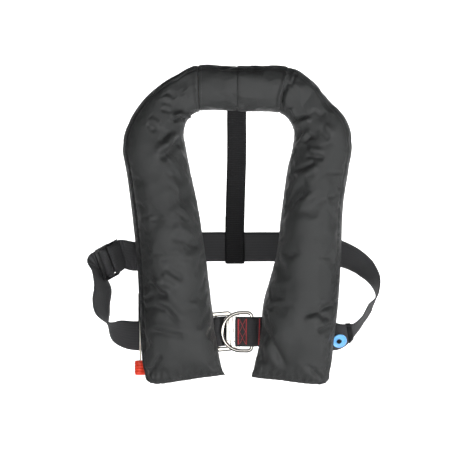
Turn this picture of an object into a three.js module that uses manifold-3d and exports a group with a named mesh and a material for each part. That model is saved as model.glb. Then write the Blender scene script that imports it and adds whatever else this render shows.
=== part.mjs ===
// An inflatable life jacket with a harness belt, in millimetres, +Z up.
// The origin is the middle of the collar's underside, where a neck or a hanger carries the jacket.
// -Y is the front of the jacket, +Y is the wearer's side, and +X is the wearer's left lobe.
import * as THREE from "three";
import { mergeVertices } from "three/addons/utils/BufferGeometryUtils.js";
import Module from "manifold-3d";

const wasm = await Module();
wasm.setup();

// ---- Driving dimensions ----------------------------------------------------------------------
const GAP = 0.3; // between pieces that touch
const SHOULDER_HALF = 177; // from the middle to the widest point of a shoulder
const LOBE_LENGTH = 424; // from the collar's underside down to the bottom seam
const COLLAR_HEIGHT = 70;
const LOBE_FRONT = 34; // how far the lobe's front crown stands before the origin
const LOBE_BACK = 22; // how far its back panel stands behind the origin
const COLLAR_FRONT = 25;
const COLLAR_BACK = 20;
const SEAM_Y = 6; // the plane in which front cover and back panel meet
const BOTTOM_SEAM = 3; // half the thickness of the flat bottom seam
const CLOTH = 2; // wall of cover and back panel
const TAPE_WIDTH = 12; // hook-and-loop tape
const TAPE_THICK = 1.4;
const TAPE_INSET = 4; // from the cover's wall at the seam

const BELT_WIDTH = 45;
const BELT_THICK = 2;
const STRAP_WIDTH = 30;
const BELT_Z = 81 - LOBE_LENGTH; // the front belt's middle, over the bottom seam
const BACK_BELT_Z = 213 - LOBE_LENGTH;
const BACK_BELT_Y = 74;
const BELT_REST_Y = 28.5; // the front belt's middle plane behind the lobes

const RING_ROD = 5.5;
const RING_HEIGHT = BELT_WIDTH + 20;
const RING_WIDTH = 52;
const RING_CORNER = 7;
const FRAME_HEIGHT = BELT_WIDTH + 17;
const FRAME_WIDTH = 42;
const FRAME_THICK = 3;
const FRAME_TILT = 5; // degrees that the frame hangs out of square on its belt
const HOOK_ROD = 4.4;

const CORD_D = 2.6;
const TOGGLE_D = 18.4;
const TOGGLE_H = 22.5;
const PULL_TRAVEL = 30;
const LEVER_SWING = 60; // degrees
const CYLINDER_D = 33;
const CYLINDER_LENGTH = 146;
const DISC_D = 23;

// ---- Materials -------------------------------------------------------------------------------
const paint = (color, roughness, metalness = 0) =>
  new THREE.MeshStandardMaterial({ color, roughness, metalness });
const shellNylon = paint(0x3a3c3b, 0.62);
const liningMesh = paint(0x242526, 0.9);
const webbing = paint(0x232324, 0.85);
const hookTape = paint(0x18181a, 0.95);
const bladderNylon = paint(0xd8a81e, 0.5);
const stainless = paint(0xc9c7c2, 0.18, 1);
const blackPlastic = paint(0x1c1c1d, 0.4);
const greyPlastic = paint(0x8d9092, 0.45);
const redPlastic = paint(0xd8402a, 0.45);
const greenPlastic = paint(0x2f9a4a, 0.45);
const bluePlastic = paint(0x6fb4ec, 0.4);
const whiteCord = paint(0xdcd8cc, 0.8);
const steelPaint = paint(0x9aa0a2, 0.35, 0.8);
const whistlePlastic = paint(0xe8662a, 0.4);

// ---- Helpers ---------------------------------------------------------------------------------
const jacket = new THREE.Group();
const v3 = (x, y, z) => new THREE.Vector3(x, y, z);
const v2 = (x, y) => new THREE.Vector2(x, y);
const rad = THREE.MathUtils.degToRad;

function add(name, geometry, material, place = new THREE.Matrix4()) {
  const mesh = new THREE.Mesh(geometry, material);
  mesh.name = name;
  mesh.applyMatrix4(place);
  jacket.add(mesh);
  return mesh;
}

// A closed surface through rings of points, capped at both ends, or joined end to end as a round band.
// Point i of a ring faces point n - 1 - i across the section.
function loft(rings, endless = false) {
  const count = rings[0].length;
  const position = rings.flat().flatMap((p) => [p.x, p.y, p.z]);
  const index = [];
  const quad = (a, b, c, d) => index.push(a, b, c, a, c, d);
  for (let r = 0; r + (endless ? 0 : 1) < rings.length; r++) {
    const s = (r + 1) % rings.length;
    for (let i = 0; i < count; i++) {
      const j = (i + 1) % count;
      quad(r * count + i, r * count + j, s * count + j, s * count + i);
    }
  }
  const last = (rings.length - 1) * count;
  for (let i = 0; !endless && i + 1 < count / 2; i++) {
    quad(count - 1 - i, count - 2 - i, i + 1, i);
    quad(last + i, last + i + 1, last + count - 2 - i, last + count - 1 - i);
  }
  const g = new THREE.BufferGeometry();
  g.setAttribute("position", new THREE.Float32BufferAttribute(position, 3));
  g.setIndex(index);
  return facingOut(g);
}

function facingOut(g) {
  const p = g.getAttribute("position");
  const at = (i) => v3().fromBufferAttribute(p, i);
  let volume = 0;
  const index = g.index.array;
  for (let i = 0; i < index.length; i += 3) {
    volume += at(index[i]).dot(at(index[i + 1]).cross(at(index[i + 2])));
  }
  if (volume < 0) g.setIndex(Array.from(index).reverse());
  return g;
}

// manifold-3d joins and cuts; a geometry goes in placed by a matrix, and a geometry comes out.
function solid(geometry, place = new THREE.Matrix4()) {
  const g = geometry.index ? geometry.toNonIndexed() : geometry.clone();
  const bare = new THREE.BufferGeometry();
  bare.setAttribute("position", g.getAttribute("position"));
  const merged = mergeVertices(bare.applyMatrix4(place), 1e-3);
  return new wasm.Manifold(
    new wasm.Mesh({
      numProp: 3,
      vertProperties: merged.attributes.position.array,
      triVerts: new Uint32Array(merged.index.array),
    }),
  );
}

function geometryOf(manifold) {
  const mesh = manifold.getMesh();
  const g = new THREE.BufferGeometry();
  g.setAttribute("position", new THREE.BufferAttribute(mesh.vertProperties, 3));
  g.setIndex(new THREE.BufferAttribute(mesh.triVerts, 1));
  return g;
}

const move = (x, y, z) => new THREE.Matrix4().makeTranslation(x, y, z);
const turnX = (a) => new THREE.Matrix4().makeRotationX(rad(a));
const turnY = (a) => new THREE.Matrix4().makeRotationY(rad(a));
const box = (x0, x1, y0, y1, z0, z1) =>
  solid(
    new THREE.BoxGeometry(x1 - x0, y1 - y0, z1 - z0),
    move((x0 + x1) / 2, (y0 + y1) / 2, (z0 + z1) / 2),
  );
// A turned piece: its profile of [radius, height] runs up the axis, which becomes +Z.
const turned = (profile, sides = 24) =>
  new THREE.LatheGeometry(profile.map(([r, h]) => v2(r, h)), sides).rotateX(Math.PI / 2);
const rod = (r, z0, z1, sides = 20) => turned([[0, z0], [r, z0], [r, z1], [0, z1]], sides);

// Where a flat strap runs: keys are [x, y, z, wx, wy, wz], a place and the direction of its width.
function strapFrames(keys, steps) {
  const middle = new THREE.CatmullRomCurve3(keys.map((k) => v3(k[0], k[1], k[2])), false, "centripetal");
  const widths = keys.map((k) => v3(k[3], k[4], k[5]).normalize());
  return Array.from({ length: steps + 1 }, (_, i) => {
    const t = i / steps;
    const along = middle.getTangent(t);
    const k = Math.min(Math.floor(t * (keys.length - 1)), keys.length - 2);
    const across = widths[k].clone().lerp(widths[k + 1], t * (keys.length - 1) - k);
    const normal = along.clone().cross(across).normalize();
    return { place: middle.getPoint(t), across: normal.clone().cross(along).normalize(), normal };
  });
}

const strapSection = ({ place, across, normal }, width, thick) =>
  [[-1, -1], [1, -1], [1, 1], [-1, 1]].map(([a, n]) =>
    place.clone().addScaledVector(across, (a * width) / 2).addScaledVector(normal, (n * thick) / 2),
  );

const strap = (keys, width, steps, thick = BELT_THICK) =>
  loft(strapFrames(keys, steps).map((f) => strapSection(f, width, thick)));

// ---- The horseshoe of lobes and collar -----------------------------------------------------------
// Stations run from the middle of the collar to the bottom seam. Each holds its inner and outer edge,
// as shares of the shoulder's half width (x) and the lobe's length or the collar's height (z),
// and the share of the full depth that the lobe has there.
const LEFT = {
  side: -1,
  stations: [
    [0, 0, 0, 1, 0],
    [0.328, 0, 0.34, 1, 0],
    [0.407, -0.019, 0.548, 0.757, 0.15],
    [0.452, -0.047, 0.808, 0.243, 0.5],
    [0.469, -0.083, 0.96, -0.059, 0.8],
    [0.455, -0.123, 1, -0.137, 0.92],
    [0.412, -0.217, 0.966, -0.236, 1],
    [0.345, -0.354, 0.927, -0.358, 1],
    [0.277, -0.531, 0.881, -0.538, 1],
    [0.226, -0.708, 0.859, -0.712, 1],
    [0.186, -0.83, 0.845, -0.84, 0.95],
    [0.138, -0.935, 0.81, -0.95, 0.48],
    [0.107, -0.965, 0.706, -1, 0],
  ],
};
const RIGHT = {
  side: 1,
  stations: [
    [0, 0, 0, 1, 0],
    [0.373, -0.007, 0.452, 0.957, 0],
    [0.452, -0.031, 0.616, 0.714, 0.15],
    [0.497, -0.071, 0.808, 0.214, 0.5],
    [0.497, -0.104, 0.949, -0.038, 0.8],
    [0.48, -0.146, 0.997, -0.118, 0.92],
    [0.441, -0.212, 0.972, -0.212, 1],
    [0.395, -0.349, 0.924, -0.342, 1],
    [0.339, -0.531, 0.904, -0.538, 1],
    [0.232, -0.703, 0.879, -0.708, 1],
    [0.206, -0.825, 0.842, -0.84, 0.95],
    [0.153, -0.925, 0.802, -0.953, 0.48],
    [0.124, -0.972, 0.718, -1, 0],
  ],
};
const LAST = LEFT.stations.length - 1;
const COLLAR_SEAM = 1; // the station of the seam between collar and lobe
const edgeHeight = (share) => share * (share > 0 ? COLLAR_HEIGHT : LOBE_LENGTH);

for (const lobe of [LEFT, RIGHT]) {
  const depth = (k, share, lobeDepth, collarDepth) => {
    if (k === LAST) return BOTTOM_SEAM;
    return k > 5 ? lobeDepth * share : collarDepth + (lobeDepth - collarDepth) * share;
  };
  const front = (k, share) => depth(k, share, LOBE_FRONT + SEAM_Y, COLLAR_FRONT + SEAM_Y);
  const back = (k, share) => depth(k, share, LOBE_BACK - SEAM_Y, COLLAR_BACK - SEAM_Y);
  lobe.inner = new THREE.CatmullRomCurve3(
    lobe.stations.map(([x, z, , , share], k) =>
      v3(lobe.side * x * SHOULDER_HALF, front(k, share), edgeHeight(z)),
    ),
  );
  lobe.outer = new THREE.CatmullRomCurve3(
    lobe.stations.map(([, , x, z, share], k) =>
      v3(lobe.side * x * SHOULDER_HALF, back(k, share), edgeHeight(z)),
    ),
  );
}

// One side of a section: points from the inner to the outer edge, bulging to the depth.
// inset moves the edges in and the crown down by one wall.
function arch(lobe, station, toFront, inset, round, count, seamY = SEAM_Y) {
  const a = lobe.inner.getPoint(station / LAST);
  const b = lobe.outer.getPoint(station / LAST);
  const depth = (toFront ? a.y : b.y) - inset;
  const chord = v3(b.x - a.x, 0, b.z - a.z);
  const width = chord.length();
  chord.normalize();
  const points = [];
  for (let i = 0; i < count; i++) {
    const s = 0.5 - 0.5 * Math.cos((Math.PI * i) / (count - 1));
    const rise = Math.pow(1 - Math.pow(Math.abs(2 * s - 1), round), 1 / round);
    const place = v3(a.x, 0, a.z).addScaledVector(chord, inset + s * (width - 2 * inset));
    place.y = seamY + (toFront ? -1 : 1) * Math.max(depth, 0.4) * rise;
    points.push(place);
  }
  return points;
}

const FRONT_ROUND = 2.5;
const BACK_ROUND = 3.2;
const ARCH_POINTS = 9;
const SEAM_SHARE = 0.0026; // a touch of one station, which leaves the gap in a seam

// A cloth shell between two stations: the arch outside, and the same arch one wall in.
function shell(lobe, from, to, steps, toFront) {
  const round = toFront ? FRONT_ROUND : BACK_ROUND;
  const seam = SEAM_Y + (toFront ? -GAP / 2 : GAP / 2);
  const rings = [];
  for (let i = 0; i <= steps; i++) {
    const station = from + ((to - from) * i) / steps;
    const outside = arch(lobe, station, toFront, 0, round, ARCH_POINTS, seam);
    const inside = arch(lobe, station, toFront, CLOTH, round, ARCH_POINTS, seam);
    rings.push([...outside, ...inside.reverse()]);
  }
  return loft(rings);
}

function covers() {
  for (const [lobe, name] of [[LEFT, "left"], [RIGHT, "right"]]) {
    const seamIn = COLLAR_SEAM - SEAM_SHARE;
    const seamOut = COLLAR_SEAM + SEAM_SHARE;
    add(`${name}_front_cover`, shell(lobe, seamOut, LAST, 18, true), shellNylon);
    add(`${name}_collar_cover`, shell(lobe, SEAM_SHARE, seamIn, 3, true), shellNylon);
    const panel = shell(lobe, seamOut, LAST, 18, false);
    add(`${name}_back_panel`, lobe === LEFT ? geometryOf(solid(panel).subtract(cordSlot())) : panel, liningMesh);
    add(`${name}_neck_lining`, shell(lobe, SEAM_SHARE, seamIn, 3, false), liningMesh);
  }
}

// Hook-and-loop tape inside the cover's outer edge, in front of the seam.
function closureTape(lobe) {
  const rings = [];
  const steps = 14;
  const first = 4.6;
  for (let i = 0; i <= steps; i++) {
    const station = first + ((LAST - 2 - first) * i) / steps;
    const a = lobe.inner.getPoint(station / LAST);
    const b = lobe.outer.getPoint(station / LAST);
    const inward = v3(a.x - b.x, 0, a.z - b.z).normalize();
    const outerEdge = v3(b.x, 0, b.z).addScaledVector(inward, CLOTH + TAPE_INSET);
    const innerEdge = outerEdge.clone().addScaledVector(inward, TAPE_THICK);
    const at = (p, y) => v3(p.x, y, p.z);
    const back = SEAM_Y - GAP;
    const front = back - TAPE_WIDTH;
    rings.push([at(outerEdge, front), at(outerEdge, back), at(innerEdge, back), at(innerEdge, front)]);
  }
  return loft(rings);
}

// ---- The inflatable chamber, folded, with room for the hardware ------------------------------------
const PACKED_INSET = CLOTH + TAPE_INSET + TAPE_THICK + 1.2;
function chamberHalf(lobe) {
  const rings = [];
  const steps = 14;
  for (let i = 0; i <= steps; i++) {
    const station = ((LAST - 0.9) * i) / steps;
    const front = arch(lobe, station, true, PACKED_INSET, FRONT_ROUND, 9);
    const back = arch(lobe, station, false, PACKED_INSET, BACK_ROUND, 9);
    back[0].y += 0.02;
    back[8].y += 0.02;
    rings.push([...front, ...back.reverse()]);
  }
  return solid(loft(rings));
}

// ---- Gas inflator in the left lobe -----------------------------------------------------------------
const INFLATOR = { x: -Math.round(0.565 * SHOULDER_HALF), y: -2, z: 121 - LOBE_LENGTH }; // in the lobe's middle
const BODY_W = 46;
const BODY_H = 42;
const BODY_D = 24;
const CYLINDER_BASE = INFLATOR.z + BODY_H / 2 + GAP;
const LEVER_LENGTH = PULL_TRAVEL / (2 * Math.sin(rad(LEVER_SWING / 2)));
const LEVER_PIVOT = { x: INFLATOR.x - BODY_W / 2 + 5, y: INFLATOR.y + BODY_D / 2 + 3, z: INFLATOR.z };
const STEM = { x: INFLATOR.x + 8, z: INFLATOR.z - 9 };
const PIN_R = 1.6;
const LEVER_THICK = 3;
const EYE_R = 1.7;
const LEVER_EYE = {
  x: LEVER_PIVOT.x - LEVER_LENGTH * Math.cos(rad(LEVER_SWING / 2)),
  y: INFLATOR.y + BODY_D / 2 + GAP + LEVER_THICK,
  z: LEVER_PIVOT.z + LEVER_LENGTH * Math.sin(rad(LEVER_SWING / 2)),
};

function inflator() {
  const { x, y, z } = INFLATOR;
  const seat = rod(8.4, z + BODY_H / 2 - 10, z + BODY_H / 2 + 1).translate(x, y, 0);
  const port = turned([[0, 0], [7.4, 0], [7.4, 16], [0, 16]]).applyMatrix4(turnY(-90));
  const pinPath = rod(2.1, z - 4, z + BODY_H / 2 - 8, 12).translate(x, y, 0);
  const stemPath = rod(6.3, -BODY_D, BODY_D).applyMatrix4(turnX(-90)).translate(STEM.x, y, STEM.z);
  const pivotHole = rod(PIN_R + 0.05, -8, 9, 12).applyMatrix4(turnX(-90));
  const leverX = LEVER_PIVOT.x;
  const body = box(x - BODY_W / 2, x + BODY_W / 2, y - BODY_D / 2, y + BODY_D / 2, z - BODY_H / 2, z + BODY_H / 2)
    .add(solid(rod(11, z + BODY_H / 2 - 1, z + BODY_H / 2 + 0), move(x, y, 0)))
    .subtract(solid(seat))
    .subtract(solid(port, move(x + BODY_W / 2 + 1, y, z + 6)))
    .subtract(solid(pinPath))
    .subtract(solid(stemPath))
    .subtract(solid(pivotHole, move(leverX, y + BODY_D / 2, z)));
  add("inflator_body", geometryOf(body), blackPlastic);

  const neck = 7.9;
  const r = CYLINDER_D / 2;
  const base = CYLINDER_BASE;
  const cylinder = [
    [0, base - 3], [2.4, base - 3], [2.4, base - 9], [neck, base - 9], [neck, base + 3], [9, base + 5], [r - 3, base + 13],
    [r, base + 20], [r, base + CYLINDER_LENGTH - 14], [r - 4, base + CYLINDER_LENGTH - 4], [r - 11, base + CYLINDER_LENGTH],
    [0, base + CYLINDER_LENGTH],
  ];
  add("gas_cylinder", turned(cylinder, 24).translate(x, y, 0), steelPaint);

  const pin = [[0, -2], [1.8, -2], [1.8, 10], [0.5, 15], [0, 15]];
  add("piercing_pin", turned(pin, 12).translate(x, y, z - 1), stainless);

  const cartridge = [[0, 0], [7.1, 0], [7.1, 13], [0, 13]];
  add("trigger_cartridge", turned(cartridge, 20), greyPlastic, move(x + BODY_W / 2 + 0.2, y, z + 6).multiply(turnY(-90)));
  const cap = [[0, 0], [10.5, 0], [10.5, 9], [9, 11], [0, 11]];
  add("cartridge_cap", turned(cap, 16), greenPlastic, move(x + BODY_W / 2 + 0.6, y, z + 6).multiply(turnY(90)));

  const leverY = y + BODY_D / 2 + GAP;
  const start = 180 - LEVER_SWING / 2;
  const arm = new THREE.Shape();
  arm.absarc(0, 0, 5.5, rad(start + 90), rad(start + 270), false);
  const tip = v2(Math.cos(rad(start)), Math.sin(rad(start)));
  const side = v2(-tip.y, tip.x);
  const end = tip.clone().multiplyScalar(LEVER_LENGTH);
  arm.lineTo(end.x - side.x * EYE_R * 2, end.y - side.y * EYE_R * 2);
  arm.absarc(end.x, end.y, EYE_R * 2, rad(start - 90), rad(start + 90), false);
  arm.closePath();
  const hole = new THREE.Path().absarc(0, 0, PIN_R + 0.05, 0, Math.PI * 2, true);
  arm.holes.push(hole);
  const eye = new THREE.Path().absarc(end.x, end.y, EYE_R - 0.6, 0, Math.PI * 2, true);
  arm.holes.push(eye);
  const lever = new THREE.ExtrudeGeometry(arm, { depth: LEVER_THICK, bevelEnabled: false, curveSegments: 10 });
  add("inflator_lever", lever, blackPlastic, move(leverX, leverY + LEVER_THICK, z).multiply(turnX(90)));

  const pinShape = [[0, 0], [PIN_R, 0], [PIN_R, 10.4], [2.6, 10.4], [2.6, 11.6], [0, 11.6]];
  add("lever_pin", turned(pinShape, 12), stainless, move(leverX, leverY + LEVER_THICK + GAP - 10.4, z).multiply(turnX(-90)));

  const clip = box(x - 6, x + 4, y + BODY_D / 2 + GAP, y + BODY_D / 2 + 2.6, z + 12, z + 19);
  add("indicator_clip", geometryOf(clip), greenPlastic);
}

// The stem through the chamber's wall, and the nut that clamps the inflator on it.
function manifold() {
  const { y } = INFLATOR;
  const place = move(STEM.x, y, STEM.z).multiply(turnX(-90));
  const wall = BODY_D / 2;
  const stem = [
    [0, -wall - 5], [5.9, -wall - 5], [5.9, wall + 0.4], [17, wall + 0.4], [17, wall + 2], [0, wall + 2],
  ];
  add("manifold_stem", turned(stem, 24), greyPlastic, place);
  const corners = [0, 1, 2, 3, 4, 5].map((i) => v2(Math.cos((i * Math.PI) / 3), Math.sin((i * Math.PI) / 3)));
  const nut = new THREE.Shape(corners.map((p) => p.multiplyScalar(9.5)));
  nut.holes.push(new THREE.Path().absarc(0, 0, 6.2, 0, Math.PI * 2, true));
  const nutGeometry = new THREE.ExtrudeGeometry(nut, { depth: 4, bevelEnabled: false, curveSegments: 12 });
  add("manifold_nut", nutGeometry, greyPlastic, place.clone().multiply(move(0, 0, -wall - GAP - 4)));
}

// ---- Pull cord and toggle --------------------------------------------------------------------------
const CORD = { x: 25.8 - SHOULDER_HALF, y: 20.4 };
const CORD_EXIT = 96 - LOBE_LENGTH; // the height at which the cord leaves its hood
const HOOD_TOP = CORD_EXIT + 45;
const HOOD_WALL = 1.1;
const TOGGLE_TOP = CORD_EXIT - 59.5;

// The slot in the back panel through which the cord comes from the lever.
const cordSlot = () => box(CORD.x + 0.7, LEVER_EYE.x + 3, SEAM_Y + 2, 40, CORD_EXIT - 2, HOOD_TOP - 3);

// A cloth hood over the slot: a box with a round outer corner, hollow, open below and to the panel.
function cordHood() {
  const { x, y } = CORD;
  const r = CORD_D / 2 + 0.5;
  const section = (grow) => {
    const s = new THREE.Shape();
    s.moveTo(x - r - grow, SEAM_Y + 2);
    s.lineTo(x - r - grow, y);
    s.absarc(x, y, r + grow, Math.PI, Math.PI / 2, true);
    s.lineTo(LEVER_EYE.x + 3.5 + grow, y + r + grow);
    s.lineTo(LEVER_EYE.x + 3.5 + grow, SEAM_Y + 2);
    s.closePath();
    return s;
  };
  const bar = (grow, low, high) =>
    solid(
      new THREE.ExtrudeGeometry(section(grow), { depth: high - low, bevelEnabled: false, curveSegments: 6 }),
      move(0, 0, low),
    );
  const rings = [];
  for (let station = 6.5; station < 11; station += 0.5) {
    const front = arch(LEFT, station, true, -GAP, FRONT_ROUND, ARCH_POINTS);
    const back = arch(LEFT, station, false, -GAP - 0.15, BACK_ROUND, ARCH_POINTS);
    back[0].y += 0.02;
    back[ARCH_POINTS - 1].y += 0.02;
    rings.push([...front, ...back.reverse()]);
  }
  const hood = bar(HOOD_WALL, CORD_EXIT, HOOD_TOP)
    .subtract(bar(0, CORD_EXIT - 1, HOOD_TOP - HOOD_WALL))
    .subtract(solid(loft(rings)));
  add("cord_hood", geometryOf(hood), liningMesh);
}

const cordTube = (points, steps) => {
  const section = new THREE.Shape().absarc(0, 0, CORD_D / 2, 0, Math.PI * 2, false);
  const route = new THREE.CatmullRomCurve3(points.map((p) => v3(...p)), false, "centripetal");
  return new THREE.ExtrudeGeometry(section, { steps, curveSegments: 4, bevelEnabled: false, extrudePath: route });
};

function pullHandle() {
  const { x, y } = CORD;
  const recess = 5;
  const r = TOGGLE_D / 2;
  const bore = CORD_D / 2 + GAP;
  const toggle = [
    [bore, recess - TOGGLE_H], [4.6, recess - TOGGLE_H], [4.6, -TOGGLE_H], [r - 1.5, -TOGGLE_H],
    [r, 2 - TOGGLE_H], [r, -7], [r - 0.6, -6], [r - 0.6, -1], [r - 1.8, 0], [4.6, 0], [4.6, -recess],
    [bore, -recess], [bore, recess - TOGGLE_H],
  ];
  add("pull_toggle", turned(toggle, 24), redPlastic, move(x, y, TOGGLE_TOP));
  const knotTop = TOGGLE_TOP - TOGGLE_H + recess - GAP;
  const knot = turned([[0, -4.4], [1.6, -4.4], [3.2, -3], [3.2, -1.4], [1.8, 0], [0, 0]], 12);
  add("cord_knot", knot, whiteCord, move(x, y, knotTop));

  const eye = { x: LEVER_EYE.x, y: LEVER_EYE.y + 2 * GAP, z: LEVER_EYE.z };
  add("lever_cord", cordTube([
    [eye.x, eye.y, eye.z], [eye.x, eye.y + 2.5, eye.z - 0.4], [eye.x - 2, y - 2, eye.z - 4],
    [x + 1, y - 0.2, eye.z - 10], [x, y, eye.z - 16], [x, y, CORD_EXIT + 12], [x, y, CORD_EXIT],
  ], 14), whiteCord);
  add("pull_cord", cordTube([
    [x, y, CORD_EXIT - GAP], [x, y, CORD_EXIT - 25], [x, y, TOGGLE_TOP + 8], [x, y, knotTop + GAP],
  ], 12), whiteCord);
}

// ---- Oral tube and whistle in the right lobe ---------------------------------------------------------
const TUBE = { x: -INFLATOR.x, y: -6, z: 112 - LOBE_LENGTH, r: 5.5, length: 96 };

function oralTube() {
  const { x, y, z, r, length } = TUBE;
  const tube = [[3.6, 0], [r, 0], [r, length], [3.6, length], [3.6, 0]];
  add("oral_tube", turned(tube, 20), blackPlastic, move(x, y, z));
  const flange = [[0, -3], [13, -3], [13, -0.8], [3.3, -0.8], [3.3, 6], [0, 6]];
  add("tube_flange", turned(flange, 24), blackPlastic, move(x, y, z));
  const top = z + length + GAP;
  const valve = [
    [2.6, -8], [3.3, -8], [3.3, 0], [8, 0], [8, 16], [5.2, 16], [5.2, 9], [2.6, 9], [2.6, -8],
  ];
  add("oral_valve_body", turned(valve, 24), greyPlastic, move(x, y, top));
  const plunger = [[0, -6], [1.9, -6], [1.9, 12.4], [4.7, 12.4], [4.7, 15.5], [0, 15.5]];
  add("oral_valve_plunger", turned(plunger, 16), redPlastic, move(x, y, top));
  const cap = [[8.4, 4], [10, 4], [10, 20], [0, 20], [0, 18], [8.4, 18], [8.4, 4]];
  add("dust_cap", turned(cap, 24), blackPlastic, move(x, y, top));

  // The whistle stands beside the tube, in a rubber band that goes round both.
  const wide = 16;
  const left = x + r + 1.5;
  const right = left + wide;
  const middle = (left + right) / 2;
  const low = z + 20;
  const barrel = turned([[0, -5], [wide / 2, -5], [wide / 2, 5], [0, 5]], 20).applyMatrix4(turnX(-90));
  const whistle = box(left, right, y - 5, y + 5, low, low + 46)
    .add(solid(barrel, move(middle, y, low)))
    .subtract(box(left + 2, right - 2, y - 3, y + 3, low + 20, low + 50))
    .subtract(box(left + 2, right - 2, y - 8, y - 2, low + 10, low + 20));
  add("whistle", geometryOf(whistle), whistlePlastic);
  const bandX = middle - x - (right - left) / 2;
  const inside = [-r - GAP, bandX + right - left + GAP];
  const tall = Math.max(r, 5) + GAP;
  const band = roundedRect(new THREE.Shape(), inside[0] - 1.5, inside[1] + 1.5, -tall - 1.5, tall + 1.5, 4);
  band.holes.push(roundedRect(new THREE.Path(), inside[0], inside[1], -tall, tall, 0.8));
  const bandGeometry = new THREE.ExtrudeGeometry(band, { depth: 7, bevelEnabled: false, curveSegments: 5 });
  add("whistle_band", bandGeometry, hookTape, move(x, y, low + 30));
}

function chamber() {
  const { x, y, z } = INFLATOR;
  const room = 3;
  const backWall = y + BODY_D / 2 + LEVER_THICK + 5;
  const r = CYLINDER_D / 2 + 1;
  const hardware = box(x - 90, x + BODY_W / 2 + 14 + room, -60, backWall, z - BODY_H / 2 - room, CYLINDER_BASE + 14)
    .add(box(x - r, x + r, -60, y + r, CYLINDER_BASE, CYLINDER_BASE + CYLINDER_LENGTH + room));
  const stemRoom = solid(rod(18, -2, 10, 24).applyMatrix4(turnX(-90)), move(STEM.x, y + BODY_D / 2, STEM.z));
  const t = TUBE;
  const tubeRoom = box(t.x - 15, t.x + 28, -60, t.y + 13.5, t.z - 5, t.z + t.length + 40);
  const whole = chamberHalf(LEFT).add(chamberHalf(RIGHT)).subtract(hardware).subtract(stemRoom).subtract(tubeRoom);
  const [largest] = whole.decompose().sort((a, b) => b.volume() - a.volume());
  add("inflatable_chamber", geometryOf(largest), bladderNylon);
}

// ---- Steel closure and tether ring on the front belt ---------------------------------------------------
const RING_BAR = { x: 22.5, y: BELT_REST_Y - 2.6 };
const FRAME_Y = RING_BAR.y + RING_ROD / 2 + 0.55; // the frame's front face
const HOOK_THICK = 2.4;
const HOOK_BAR = { x: 1, y: FRAME_Y + FRAME_THICK + GAP + HOOK_THICK / 2 };
const FRAME_RIGHT = -3.64 - (BELT_WIDTH / 2) * Math.sin(rad(FRAME_TILT));
const FRAME_LEFT = FRAME_RIGHT - FRAME_WIDTH;
const FRAME_MIDDLE = FRAME_RIGHT - FRAME_WIDTH / 2;
const RAIL = 7;
const WINDOW_HALF = BELT_WIDTH / 2 + 1.2;
const FRAME_BAR = { x: -31.5, half: 2.4 };
const BAND = BELT_THICK / 2;

function tetherRing() {
  const half = (RING_HEIGHT - RING_ROD) / 2;
  const right = RING_BAR.x;
  const bowX = right - (RING_WIDTH - RING_ROD) + half;
  const c = RING_CORNER;
  const path = new THREE.Path();
  path.moveTo(right, -half + c);
  path.lineTo(right, half - c);
  path.absarc(right - c, half - c, c, 0, Math.PI / 2, false);
  path.lineTo(bowX, half);
  path.absarc(bowX, 0, half, Math.PI / 2, (Math.PI * 3) / 2, false);
  path.lineTo(right - c, -half);
  path.absarc(right - c, -half + c, c, -Math.PI / 2, 0, false);
  const points = path.getSpacedPoints(48).slice(0, -1).map((p) => v3(p.x, RING_BAR.y, p.y + BELT_Z));
  const curve = new THREE.CatmullRomCurve3(points, true);
  add("tether_ring", new THREE.TubeGeometry(curve, 48, RING_ROD / 2, 8, true), stainless);
}

// A rectangle with round corners, in the plane of X and Z.
function roundedRect(shape, x0, x1, z0, z1, r) {
  shape.moveTo(x0 + r, z0);
  shape.lineTo(x1 - r, z0);
  shape.absarc(x1 - r, z0 + r, r, -Math.PI / 2, 0, false);
  shape.lineTo(x1, z1 - r);
  shape.absarc(x1 - r, z1 - r, r, 0, Math.PI / 2, false);
  shape.lineTo(x0 + r, z1);
  shape.absarc(x0 + r, z1 - r, r, Math.PI / 2, Math.PI, false);
  shape.lineTo(x0, z0 + r);
  shape.absarc(x0 + r, z0 + r, r, Math.PI, Math.PI * 1.5, false);
  return shape;
}

function closure() {
  const h = FRAME_HEIGHT / 2;
  const frame = roundedRect(new THREE.Shape(), FRAME_LEFT, FRAME_RIGHT, -h, h, 8);
  const barL = FRAME_BAR.x - FRAME_BAR.half;
  const barR = FRAME_BAR.x + FRAME_BAR.half;
  frame.holes.push(roundedRect(new THREE.Path(), barR, FRAME_RIGHT - RAIL, -WINDOW_HALF, WINDOW_HALF, 2));
  frame.holes.push(roundedRect(new THREE.Path(), FRAME_LEFT + RAIL, barL, -WINDOW_HALF, WINDOW_HALF, 2));
  const g = new THREE.ExtrudeGeometry(frame, { depth: FRAME_THICK, bevelEnabled: false, curveSegments: 5 });
  const place = move(FRAME_MIDDLE, FRAME_Y + FRAME_THICK, BELT_Z).multiply(turnY(-FRAME_TILT)).multiply(turnX(90));
  add("closure_frame", g, stainless, place.multiply(move(-FRAME_MIDDLE, 0, 0)));

  // The hook: a plate with a slot for the belt's loop, behind the frame's right rail, and a lip that
  // stands forward through the frame's window.
  const slot = BELT_WIDTH / 2 + 0.8;
  const out = slot + 3;
  const plateY = HOOK_BAR.y - HOOK_THICK / 2;
  const railLeft = FRAME_RIGHT - RAIL;
  const lipX = railLeft - 2.2;
  const reach = lipX - HOOK_THICK;
  const half = HOOK_ROD / 2;
  const hook = box(reach, HOOK_BAR.x + half, plateY, plateY + HOOK_THICK, -out, out)
    .subtract(box(railLeft + 2, HOOK_BAR.x - half, plateY - 1, plateY + HOOK_THICK + 1, -slot, slot))
    .add(box(reach, lipX, FRAME_Y + 0.4, plateY + HOOK_THICK, -14, 14));
  add("closure_hook", geometryOf(hook), stainless, move(0, 0, BELT_Z));
}

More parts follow.
